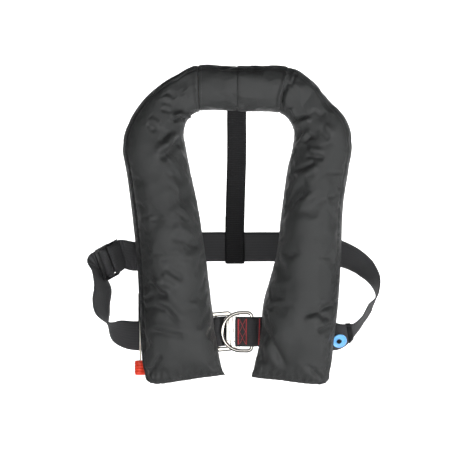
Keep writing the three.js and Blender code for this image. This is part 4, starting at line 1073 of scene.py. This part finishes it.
# %% [markdown]
# ## Red safety seams
# The belt is folded back round the ring and sewn down with red thread. The pattern is two heavy bars
# with crosses between them. Each line is a dense zigzag of short threads on the front of the webbing.


# %% Sew the belt
THREAD_RISE, THREAD_RADIUS = 0.0001, 0.00034


def on_belt(frames, rows, x_mm, across_mm):
    """The point and normal on the front of a belt at one x, within a range of its rows."""
    middle, across, normal = (part[rows] for part in frames)
    order = np.argsort(middle[:, 0])
    x_at = middle[order, 0]
    place, wide, up = (
        np.array([np.interp(x_mm * MM, x_at, values[order, k]) for k in range(3)])
        for values in (middle, across, normal)
    )
    up = -up if up[1] > 0 else up
    return place + wide * across_mm * MM + up * (BELT_THICK / 2 + THREAD_RISE), up


def sew(name, xa, za, xb, zb, zigzag, pitch):
    """A red zigzag on the belt's front layer between two places, x and z in mm from the belt's middle."""
    spots = [
        on_belt(right_frames, front_layer, xa + (xb - xa) * k / 40, za + (zb - za) * k / 40)
        for k in range(41)
    ]
    line, up = [s[0] for s in spots], [s[1] for s in spots]
    stitches(name, line, up, red_thread, pitch * 0.92, pitch * 0.08, THREAD_RADIUS, zigzag)


last_keys = len(right_keys) - 1
front_layer = slice(round(RIGHT_STEPS * (last_keys - 8.4) / last_keys), RIGHT_STEPS + 1)
for k, (x_mm, heavy) in enumerate(((1.6, 0.0013), (14.2, 0.0009))):
    sew(f"red_bar_{k}", x_mm, -20, x_mm, 20, heavy, 0.0008)
for k, (low_z, high_z) in enumerate(((-19, 0), (0, 19))):
    sew(f"red_cross_{k}_a", 3.4, low_z, 12.8, high_z, 0.0004, 0.0016)
    sew(f"red_cross_{k}_b", 12.8, low_z, 3.4, high_z, 0.0004, 0.0016)
sew("red_end_bar", 33.2, -20.5, 34.8, 20.5, 0.0008, 0.0009)

# %% [markdown]
# ## Polished stainless steel
# The tether ring and the closure are marine stainless steel, forged and polished. Polished steel is
# almost a mirror, so its look is made by what it reflects: the white room in bright bands, and the
# dark jacket between them. Fine hairlines from wear break up the reflection. The metal keeps the
# shader's default IOR.


# %% Steel
def steel(name, base, rough, scratch=0.05):
    material, shader = bare_material(name)
    shade(shader, base, rough, metallic=1.0)
    place = add(material, "ShaderNodeTexCoord").outputs["Object"]
    scuffs = add(material, "ShaderNodeTexNoise", values={"Scale": 160, "Detail": 5}, links={"Vector": place})
    scuffed = span(0.35, 0.75, rough, rough + scratch)
    worn = add(material, "ShaderNodeMapRange", values=scuffed, links={"Value": scuffs})
    join(material, worn, shader.inputs["Roughness"])
    fine = add(material, "ShaderNodeTexNoise", values={"Scale": 900, "Detail": 2}, links={"Vector": place})
    hairlines = {"Distance": 0.00002, "Strength": 0.35}
    raised = add(material, "ShaderNodeBump", values=hairlines, links={"Height": fine})
    join(material, raised, shader.inputs["Normal"])
    return material


polished_steel = steel("polished_stainless_steel", "#DAD6CE", 0.07)
satin_steel = steel("drawn_stainless_steel", "#C9C7C1", 0.2, 0.12)
plated_cylinder = steel("zinc_plated_cylinder_steel", "#A9ADAF", 0.28, 0.15)


def rounded(name, material, width, segments=3):
    """A CAD node with its own finish; its sharp edges are broken as tooling would break them."""
    piece = node[name]
    piece.data.materials.clear()
    piece.data.materials.append(material)
    merge = piece.modifiers.new("weld", "WELD")
    merge.merge_threshold = 0.00002
    soften = piece.modifiers.new("edges", "BEVEL")
    soften.width = width * MM
    soften.segments = segments
    soften.limit_method = "ANGLE"
    soften.angle_limit = math.radians(35)
    soften.use_clamp_overlap = True
    soften.harden_normals = True
    return piece


# %% The tether ring
RING_X, RING_Y, RING_ROD, RING_CORNER = 0.0225, 0.0259, 0.0055, 0.007
RING_HEIGHT, RING_WIDTH = 0.065, 0.052
RING_HALF = (RING_HEIGHT - RING_ROD) / 2
RING_BOW = RING_X - (RING_WIDTH - RING_ROD) + RING_HALF


def ring_path():
    """A D: a straight bar, two short corners and a long bow."""
    spots = []

    def arc(cx, cz, radius, start, end, count):
        for k in range(count + 1):
            angle = math.radians(start + (end - start) * k / count)
            spots.append((cx + radius * math.cos(angle), cz + radius * math.sin(angle)))

    arc(RING_X - RING_CORNER, RING_HALF - RING_CORNER, RING_CORNER, 0, 90, 12)
    arc(RING_BOW, 0, RING_HALF, 90, 270, 64)
    arc(RING_X - RING_CORNER, RING_CORNER - RING_HALF, RING_CORNER, -90, 0, 12)
    lower = spots[-1][1]
    spots += [(RING_X, lower + (RING_HALF - RING_CORNER - lower) * k / 14) for k in range(1, 14)]
    return [Vector((x, RING_Y, z + BELT_Z * MM)) for x, z in spots]


def tube(name, path, radius, material, body, sides=28, closed=False, twist=None):
    """A round bar or cord along a path; twist(i, angle) may change its radius."""
    rows, run = [], 0.0
    before = None
    for i, p in enumerate(path):
        ahead = path[(i + 1) % len(path)] if closed or i + 1 < len(path) else p
        back = path[i - 1] if closed or i > 0 else p
        way = (ahead - back).normalized()
        side = before - way * before.dot(way) if before else way.orthogonal()
        side = side.normalized()
        before = side
        other = way.cross(side)
        row = []
        for k in range(sides):
            angle = 2 * math.pi * k / sides
            r = radius * (twist(i, angle) if twist else 1)
            row.append(p + (side * math.cos(angle) + other * math.sin(angle)) * r)
        rows.append(row)
    if closed:
        rows.append(rows[0])
    mesh = grid_mesh(name, rows, closed=True, capped=not closed)
    if closed:
        weld(mesh)
    return link(name, mesh, material, body)


tether = tube("tether_ring_steel", ring_path(), RING_ROD / 2, polished_steel, "ring", closed=True)
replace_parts(tether, "tether_ring")
rounded("closure_hook", satin_steel, 0.5)

# %% [markdown]
# ## The closure frame
# The frame is forged and then polished by hand, so its rails are gently crowned and never flat. The crown
# is what draws a dark line down both sides of each rail. A bevel on a flat plate gives only a thin rim, so
# the rails are swept with a crowned section instead, round the outline and down the bar that the belt
# goes round.

# %% Sweep the frame
FRAME_LEFT, FRAME_RIGHT, FRAME_HIGH, FRAME_RAIL = -0.0476, -0.0056, 0.031, 0.007
FRAME_DEEP, FRAME_Y, FRAME_CORNER = 0.003, 0.0307, 0.0045
FRAME_BAR, FRAME_BAR_WIDE = -0.0315, 0.0048  # the bar that the left belt goes round
CROWN = 2.7  # exponent of the section: 2 is an ellipse, 8 is nearly a box
BAR_SIDES = 32


def in_frame(x, z):
    """A point of the frame's own plane, which hangs five degrees out of square."""
    half_way = (FRAME_LEFT + FRAME_RIGHT) / 2
    lean_sin, lean_cos = math.sin(FRAME_LEAN), math.cos(FRAME_LEAN)
    dx = x - half_way
    across, up = dx * lean_cos - z * lean_sin, dx * lean_sin + z * lean_cos
    return Vector((half_way + across, FRAME_Y, BELT_Z * MM + up))


def crowned_bar(path, wide, deep, closed):
    rows = []
    for i, p in enumerate(path):
        ahead = path[(i + 1) % len(path)] if closed or i + 1 < len(path) else p
        back = path[i - 1] if closed or i > 0 else p
        side = (ahead - back).normalized().cross(Vector((0, 1, 0)))
        row = []
        for k in range(BAR_SIDES):
            turn_by = 2 * math.pi * k / BAR_SIDES
            u = math.copysign(abs(math.cos(turn_by)) ** (2 / CROWN), math.cos(turn_by)) * wide / 2
            v = math.copysign(abs(math.sin(turn_by)) ** (2 / CROWN), math.sin(turn_by)) * deep / 2
            row.append(p + side * u + Vector((0, v, 0)))
        rows.append(row)
    return grid_mesh("bar", rows + rows[:1] if closed else rows, closed=True, capped=not closed)


rail_x = (FRAME_LEFT + FRAME_RAIL / 2, FRAME_RIGHT - FRAME_RAIL / 2)
rail_z = FRAME_HIGH - FRAME_RAIL / 2
outline = []
for cx, cz, first in (
    (rail_x[1], rail_z, 0), (rail_x[0], rail_z, 90), (rail_x[0], -rail_z, 180), (rail_x[1], -rail_z, 270),
):
    cx += FRAME_CORNER * (-1 if cx == rail_x[1] else 1)
    cz -= math.copysign(FRAME_CORNER, cz)
    for k in range(9):
        angle = math.radians(first + 90 * k / 8)
        place = cx + FRAME_CORNER * math.cos(angle), cz + FRAME_CORNER * math.sin(angle)
        outline.append(in_frame(*place))
frame_work = bmesh.new()
frame_work.from_mesh(crowned_bar(outline, FRAME_RAIL, FRAME_DEEP, True))
belt_bar = [in_frame(FRAME_BAR, z) for z in np.linspace(-rail_z, rail_z, 12)]
frame_work.from_mesh(crowned_bar(belt_bar, FRAME_BAR_WIDE, FRAME_DEEP * 0.96, False))
bmesh.ops.remove_doubles(frame_work, verts=frame_work.verts, dist=1e-7)
frame_mesh = bpy.data.meshes.new("closure_frame_steel")
frame_work.to_mesh(frame_mesh)
frame_work.free()
turn_outward(frame_mesh)
closure_frame = link("closure_frame_steel", frame_mesh, polished_steel, "jacket")
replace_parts(closure_frame, "closure_frame")
print("closure frame", [round(v * 1000, 1) for v in closure_frame.dimensions], "mm")

# %% [markdown]
# ## Moulded plastics
# The slider, the toggle, the disc and the inflator are injection moulded. A mould leaves a fine even
# grain on a matt face and a soft shine on a plain one, and the edges are never quite sharp.


# %% Plastics
MOULD_GRAIN = 0.00035


def moulded(name, base, dark, rough, **more):
    material, shader = bare_material(name)
    shade(shader, base, rough, ior=1.53, **more)
    place = add(material, "ShaderNodeTexCoord").outputs["Object"]
    size = {"Scale": 1 / MOULD_GRAIN, "Detail": 2}
    grain = add(material, "ShaderNodeTexNoise", values=size, links={"Vector": place})
    cloud = add(material, "ShaderNodeTexNoise", values={"Scale": 90, "Detail": 3}, links={"Vector": place})
    tone = add(material, "ShaderNodeMapRange", values=span(0.3, 0.7, 0, 1), links={"Value": cloud})
    two_tone(material, shader, tone, dark, base)
    handled = span(0.3, 0.7, rough - 0.05, rough + 0.07)
    worn = add(material, "ShaderNodeMapRange", values=handled, links={"Value": cloud})
    join(material, worn, shader.inputs["Roughness"])
    grained = {"Distance": 0.00005, "Strength": 0.5}
    raised = add(material, "ShaderNodeBump", values=grained, links={"Height": grain})
    join(material, raised, shader.inputs["Normal"])
    return material


black_acetal = moulded("black_acetal", "#1A1A1B", "#121213", 0.33)
grey_acetal = moulded("grey_acetal", "#8F9294", "#84878A", 0.4)
red_polypropylene = moulded("red_polypropylene", "#F0452A", "#DE3A1E", 0.38)
red_acetal = moulded("red_acetal", "#C83A2A", "#B33022", 0.4)
green_acetal = moulded("green_acetal", "#2F9A4A", "#26853E", 0.38)
blue_polycarbonate = moulded("pale_blue_polycarbonate", "#74B6F2", "#66A9E8", 0.28, subsurface_weight=0.25)
orange_plastic = moulded("orange_whistle_plastic", "#E8662A", "#D95A20", 0.35)
black_rubber = moulded("black_rubber_band", "#19191A", "#141415", 0.7)
dark_print = moulded("dark_pad_print", "#23425E", "#1D3850", 0.5)

# %% Slider and inside parts of plastic
rounded("belt_slider", black_acetal, 0.8)
for name, finish, edge in (
    ("inflator_body", black_acetal, 1.2), ("trigger_cartridge", grey_acetal, 0.4),
    ("cartridge_cap", green_acetal, 0.5), ("inflator_lever", black_acetal, 0.4),
    ("indicator_clip", green_acetal, 0.4), ("manifold_stem", grey_acetal, 0.3),
    ("manifold_nut", grey_acetal, 0.4), ("oral_tube", black_rubber, 0.3), ("tube_flange", black_rubber, 0.4),
    ("oral_valve_body", grey_acetal, 0.4), ("oral_valve_plunger", red_acetal, 0.3),
    ("dust_cap", black_rubber, 0.4), ("whistle", orange_plastic, 0.6), ("whistle_band", black_rubber, 0.4),
    ("gas_cylinder", plated_cylinder, 0.4), ("piercing_pin", satin_steel, 0.15),
    ("lever_pin", satin_steel, 0.2), ("disc_rivet", black_acetal, 0.25),
):
    rounded(name, finish, edge, 2)


# %% [markdown]
# ## Turned pieces: the toggle, the disc and the knot
# A turned piece is a profile spun round an axis. The toggle has a domed foot and four raised grip
# rings, so that a cold hand in a glove can hold it. The disc has a raised rim and a ring of small tick
# marks round its rivet. Its print on the real jacket carries words, which are left out.


# %% Turn
def turn(name, profile, sides, place, material, body):
    """A profile of radius and height in mm, spun round the axis of place."""
    angles = [2 * math.pi * j / sides for j in range(sides)]
    rows = [
        [place @ Vector((r * MM * math.cos(a), r * MM * math.sin(a), h * MM)) for a in angles]
        for r, h in profile
    ]
    mesh = grid_mesh(name, rows, closed=True)
    weld(mesh)
    piece = link(name, mesh, material, body)
    soften = piece.modifiers.new("smooth", "BEVEL")
    soften.width = 0.0002
    soften.segments = 2
    soften.limit_method = "ANGLE"
    soften.angle_limit = math.radians(50)
    return piece


CORD_X, CORD_Y, TOGGLE_TOP = -0.1512, 0.0204, -0.3875
BORE = 1.6  # radius of the hole for the cord
GRIP_RINGS, GRIP_PITCH = 4, 4.4
toggle_profile = [
    (BORE, -5.0), (4.6, -5.0), (4.6, -0.4), (5.2, 0.0), (7.2, 0.0), (8.2, -0.5), (8.6, -1.4), (8.6, -1.9),
]
for k in range(GRIP_RINGS):
    top = -2.6 - GRIP_PITCH * k
    toggle_profile += [(8.3, top), (9.15, top - 0.8), (9.2, top - 2.0), (9.15, top - 3.0), (8.3, top - 3.7)]
toggle_profile += [
    (8.5, -20.6), (8.1, -21.8), (7.2, -22.5), (4.9, -22.5), (4.6, -22.2), (4.6, -17.5), (BORE, -17.5),
    (BORE, -5.0),
]
toggle_place = Matrix.Translation((CORD_X, CORD_Y, TOGGLE_TOP))
toggle = turn("pull_toggle_moulding", toggle_profile, 64, toggle_place, red_polypropylene, "handle")
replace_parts(toggle, "pull_toggle")
low_corner, high_corner = (Vector(corner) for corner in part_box("cord_knot"))
knot_middle = (low_corner + high_corner) / 2

# %% The disc
middle, across, normal = right_frames
front_rows = [i for i in range(len(middle)) if middle[i][2] < FRONT_STRETCH]
spot = next(i for i in front_rows if middle[i][0] < 0.158)
forward = normal[spot] * (-1 if normal[spot][1] > 0 else 1)
disc_axis = Vector(forward)
disc_side = Vector(across[spot])
disc_up = disc_axis.cross(disc_side)
disc_at = Vector(middle[spot]) - disc_side * 0.006 + disc_axis * (0.001 + 0.0006 + 0.0009 + 0.001)
disc_place = Matrix.Translation(disc_at) @ Matrix((disc_side, disc_up, disc_axis)).transposed().to_4x4()
disc_profile = [
    (2.3, 0), (10.6, 0), (11.2, 0.25), (11.5, 0.8), (11.5, 2.2), (11.25, 2.8), (10.6, 3.0), (9.9, 2.9),
    (9.5, 2.55), (4.9, 2.55), (4.6, 3.0), (2.3, 3.0), (2.3, 0),
]
disc = turn("belt_disc_moulding", disc_profile, 96, disc_place, blue_polycarbonate, "disc")
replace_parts(disc, "belt_disc")
TICKS, TICK_START = 12, 0.0027
ticks = []
for k in range(TICKS):
    angle = 2 * math.pi * k / TICKS
    reach = 0.0009 if k % 2 else 0.0017
    along_tick = Vector((math.cos(angle), math.sin(angle), 0))
    beside_tick = Vector((-math.sin(angle), math.cos(angle), 0)) * 0.00035
    a, b = along_tick * TICK_START, along_tick * (TICK_START + reach)
    corners = [a - beside_tick, b - beside_tick, b + beside_tick, a + beside_tick]
    ticks.append([disc_place @ (c + Vector((0, 0, h))) for h in (0.0029, 0.00308) for c in corners])
vertices = [tuple(v) for tick in ticks for v in tick]
sides_of_tick = ((3, 2, 1, 0), (4, 5, 6, 7), (0, 1, 5, 4), (1, 2, 6, 5), (2, 3, 7, 6), (3, 0, 4, 7))
faces = [tuple(8 * k + c for c in face) for k in range(len(ticks)) for face in sides_of_tick]
print_mesh = bpy.data.meshes.new("disc_ticks")
print_mesh.from_pydata(vertices, [], faces)
link("disc_ticks", print_mesh, dark_print, "disc")

# %% [markdown]
# ## The pull cord
# The cord is a braid of off-white polyester, 2.6 mm thick, that leaves the cover through a cloth hood and
# hangs 59 mm free to the toggle. It goes through the toggle and ends in a knot below. Its surface is
# eight strands that spiral both ways, which a round tube gets by swelling where strands cross.


# %% Braid
braided_cord = spun_fibre(
    "braided_polyester_cord", "#B9B4A6", "#E6E2D6", 0.7, 1800, 3, subsurface_weight=0.15
)
CORD_R, CORD_EXIT = 0.0013, -0.3283
CORD_STEP, BRAID_PITCH = 0.0004, 0.007
CORD_END = TOGGLE_TOP - 0.0225 + 0.005


def strands(pitch, spacing):
    def radius(i, angle):
        run = i * spacing / pitch * 2 * math.pi
        return 0.93 + 0.07 * abs(math.sin(2 * angle + run)) * abs(math.sin(2 * angle - run)) ** 0.5

    return radius


def cord_path(points, spacing):
    rough = smooth_curve(points, np.linspace(0, 1, 200))
    run = run_along(rough)
    count = round(run[-1] / spacing)
    at = np.linspace(0, run[-1], count + 1)
    return [Vector([np.interp(d, run, rough[:, k]) for k in range(3)]) for d in at], run[-1]


route = [(CORD_X, CORD_Y, z) for z in (CORD_EXIT, -0.353, TOGGLE_TOP + 0.008, CORD_END)]
path, cord_length = cord_path(route, CORD_STEP)
braiding = strands(BRAID_PITCH, CORD_STEP)
cord = tube("pull_cord_braid", path, CORD_R, braided_cord, "handle", sides=24, twist=braiding)
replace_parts(cord, "pull_cord")
LEVER_EYE = (-0.14398, 0.0136, -0.288)
inner_route = [
    LEVER_EYE, (LEVER_EYE[0], 0.0161, -0.2884), (-0.14598, 0.0184, -0.292), (-0.1502, 0.0202, -0.298),
    (CORD_X, CORD_Y, -0.304), (CORD_X, CORD_Y, -0.316), (CORD_X, CORD_Y, -0.328),
]
inner_path, inner_length = cord_path(inner_route, CORD_STEP)
inner = tube("lever_cord_braid", inner_path, CORD_R, braided_cord, "handle", sides=24, twist=braiding)
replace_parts(inner, "lever_cord")
KNOT_R, KNOT_STEPS = 0.00175, 90
knot_rows = []
for k in range(KNOT_STEPS):
    turn_by = 2 * math.pi * k / KNOT_STEPS
    wide = 1 + 0.25 * math.cos(3 * turn_by)
    around = (KNOT_R * math.cos(2 * turn_by) * wide, KNOT_R * math.sin(2 * turn_by) * wide)
    knot_rows.append(knot_middle + Vector((*around, 0.0009 * math.sin(3 * turn_by))))
knot = tube("cord_knot_braid", knot_rows, 0.0012, braided_cord, "handle", sides=16, closed=True)
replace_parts(knot, "cord_knot")
print("pull cord", round(cord_length * 1000, 1), "mm, hidden stretch", round(inner_length * 1000, 1), "mm")

# %% [markdown]
# ## Hidden soft parts
# Inside the covers lie the folded chamber, the closure tape and the cord's hood. They don't show on a
# closed jacket, but a part library may open it up, so each has its own shape and cloth.


# %% Chamber, tapes and hood
def remade(name, cad, material, voxel, folds, inset):
    """A soft copy of a CAD solid: remeshed into even cells, smoothed, and folded by noise."""
    piece = bpy.data.objects.new(name, node[cad].data.copy())
    bpy.context.scene.collection.objects.link(piece)
    remesh = piece.modifiers.new("cells", "REMESH")
    remesh.mode = "VOXEL"
    remesh.voxel_size = voxel
    even = piece.modifiers.new("even", "SMOOTH")
    even.iterations = 6
    evaluated = piece.evaluated_get(bpy.context.evaluated_depsgraph_get())
    made = bpy.data.meshes.new_from_object(evaluated)
    bpy.data.objects.remove(piece)
    for vertex in made.vertices:
        p = vertex.co
        pleat = noise.noise(Vector((p.x * 60, p.y * 25, p.z * 9))) + 0.5 * noise.noise(p * 90)
        vertex.co = p - vertex.normal * (inset + folds * (0.5 - 0.5 * pleat))
    made.name = name
    made.materials.clear()
    piece = link(name, made, material, "jacket")
    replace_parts(piece, cad)
    return piece


chamber = remade("inflatable_chamber_cloth", "inflatable_chamber", bladder_nylon, 0.005, 0.0022, 0.0022)
rounded("cord_hood", lining_nylon, 0.3, 2)
for name in ("left_closure_tape", "right_closure_tape"):
    rounded(name, black_rubber, 0.2, 1)

# %% [markdown]
# ## The studio
# A white floor runs up into a tall white wall in one sweep, so there is no edge behind the jacket, and a
# low round wall closes the horizon for a look from behind. One soft light from low on the right shapes
# the folds, a weaker one fills from the left, a faint one hangs above, and one beside the camera gives the
# steel something bright to mirror. Four black cards, which the camera never sees, draw the dark lines
# along round steel, as a product studio does.


# %% Sweep, lights and world
def sweep():
    bend, floor_z, wall_y, half = 2.5, -2.0, 7.0, 15.0
    profile = [(-half, floor_z)]
    for k in range(17):
        angle = math.radians(90 * k / 16)
        profile.append((wall_y - bend + bend * math.sin(angle), floor_z + bend - bend * math.cos(angle)))
    profile.append((wall_y, 13.0))
    rows = [[(side * half, y, z) for side in (-1, -0.5, 0, 0.5, 1)] for y, z in profile]
    turns = [2 * math.pi * k / 64 for k in range(64)]
    far = 14.5
    ring_wall = [[(far * math.cos(t), far * math.sin(t), z) for t in turns] for z in (floor_z, 1.3)]
    paper, shader = bare_material("white_paper_sweep")
    shade(shader, "#FFFFFF", 0.9)
    shader.inputs["Emission Color"].default_value = linear("#FFFFFF")
    shader.inputs["Emission Strength"].default_value = 0.8
    placed("studio_sweep", grid_mesh("sweep", rows), paper)
    placed("studio_wall", grid_mesh("wall", ring_wall, closed=True), paper)


def soft_light(name, place, size, power):
    data = bpy.data.lights.new(name, "AREA")
    data.shape = "RECTANGLE"
    data.size = data.size_y = size
    data.energy = power
    lamp = bpy.data.objects.new(name, data)
    lamp.location = place
    lamp.rotation_euler = (VIEW_CENTRE - Vector(place)).to_track_quat("-Z", "Y").to_euler()
    bpy.context.scene.collection.objects.link(lamp)


def flag(name, centre, across, along, shades):
    """A black card that the camera never sees and the steel does; shades says if cloth sees it too."""
    turns = ((-1, -1), (1, -1), (1, 1), (-1, 1))
    corners = [Vector(centre) + Vector(across) * u + Vector(along) * v for u, v in turns]
    mesh = bpy.data.meshes.new(name)
    mesh.from_pydata([tuple(c) for c in corners], [], [(0, 1, 2, 3)])
    piece = placed(name, mesh, black_card, smooth=False)
    piece.visible_camera = False
    piece.visible_diffuse = piece.visible_shadow = shades


sweep()
soft_light("key_softbox", (2.1, -2.0, -0.95), 1.2, 52)
soft_light("fill_softbox", (-1.5, -2.5, -0.9), 1.3, 20)
soft_light("top_softbox", (0.1, -1.2, 1.9), 1.0, 1.0)
soft_light("camera_softbox", (0.3, -5.6, -0.2), 1.9, 10)
black_card, card_shader = bare_material("black_card")
shade(card_shader, "#0A0A0A", 0.9)
flag("left_flag", (-1.1, -0.1, -0.2), (0, 0.8, 0), (0, 0, 0.9), True)
flag("right_flag", (1.15, 0.2, -0.2), (0, 0.75, 0), (0, 0, 0.9), False)
flag("lower_flag", (0, 0.0, -0.61), (0.8, 0, 0), (0, 0.55, 0), False)
flag("upper_flag", (0, -0.1, 0.6), (0.8, 0, 0), (0, 0.85, 0), True)
world = bpy.data.worlds.new("pale_room")
world.use_nodes = True
world.node_tree.nodes["Background"].inputs[0].default_value = linear("#F4F6F8")
world.node_tree.nodes["Background"].inputs[1].default_value = 0.2
bpy.context.scene.world = world
bpy.context.scene.view_settings.view_transform = "Standard"
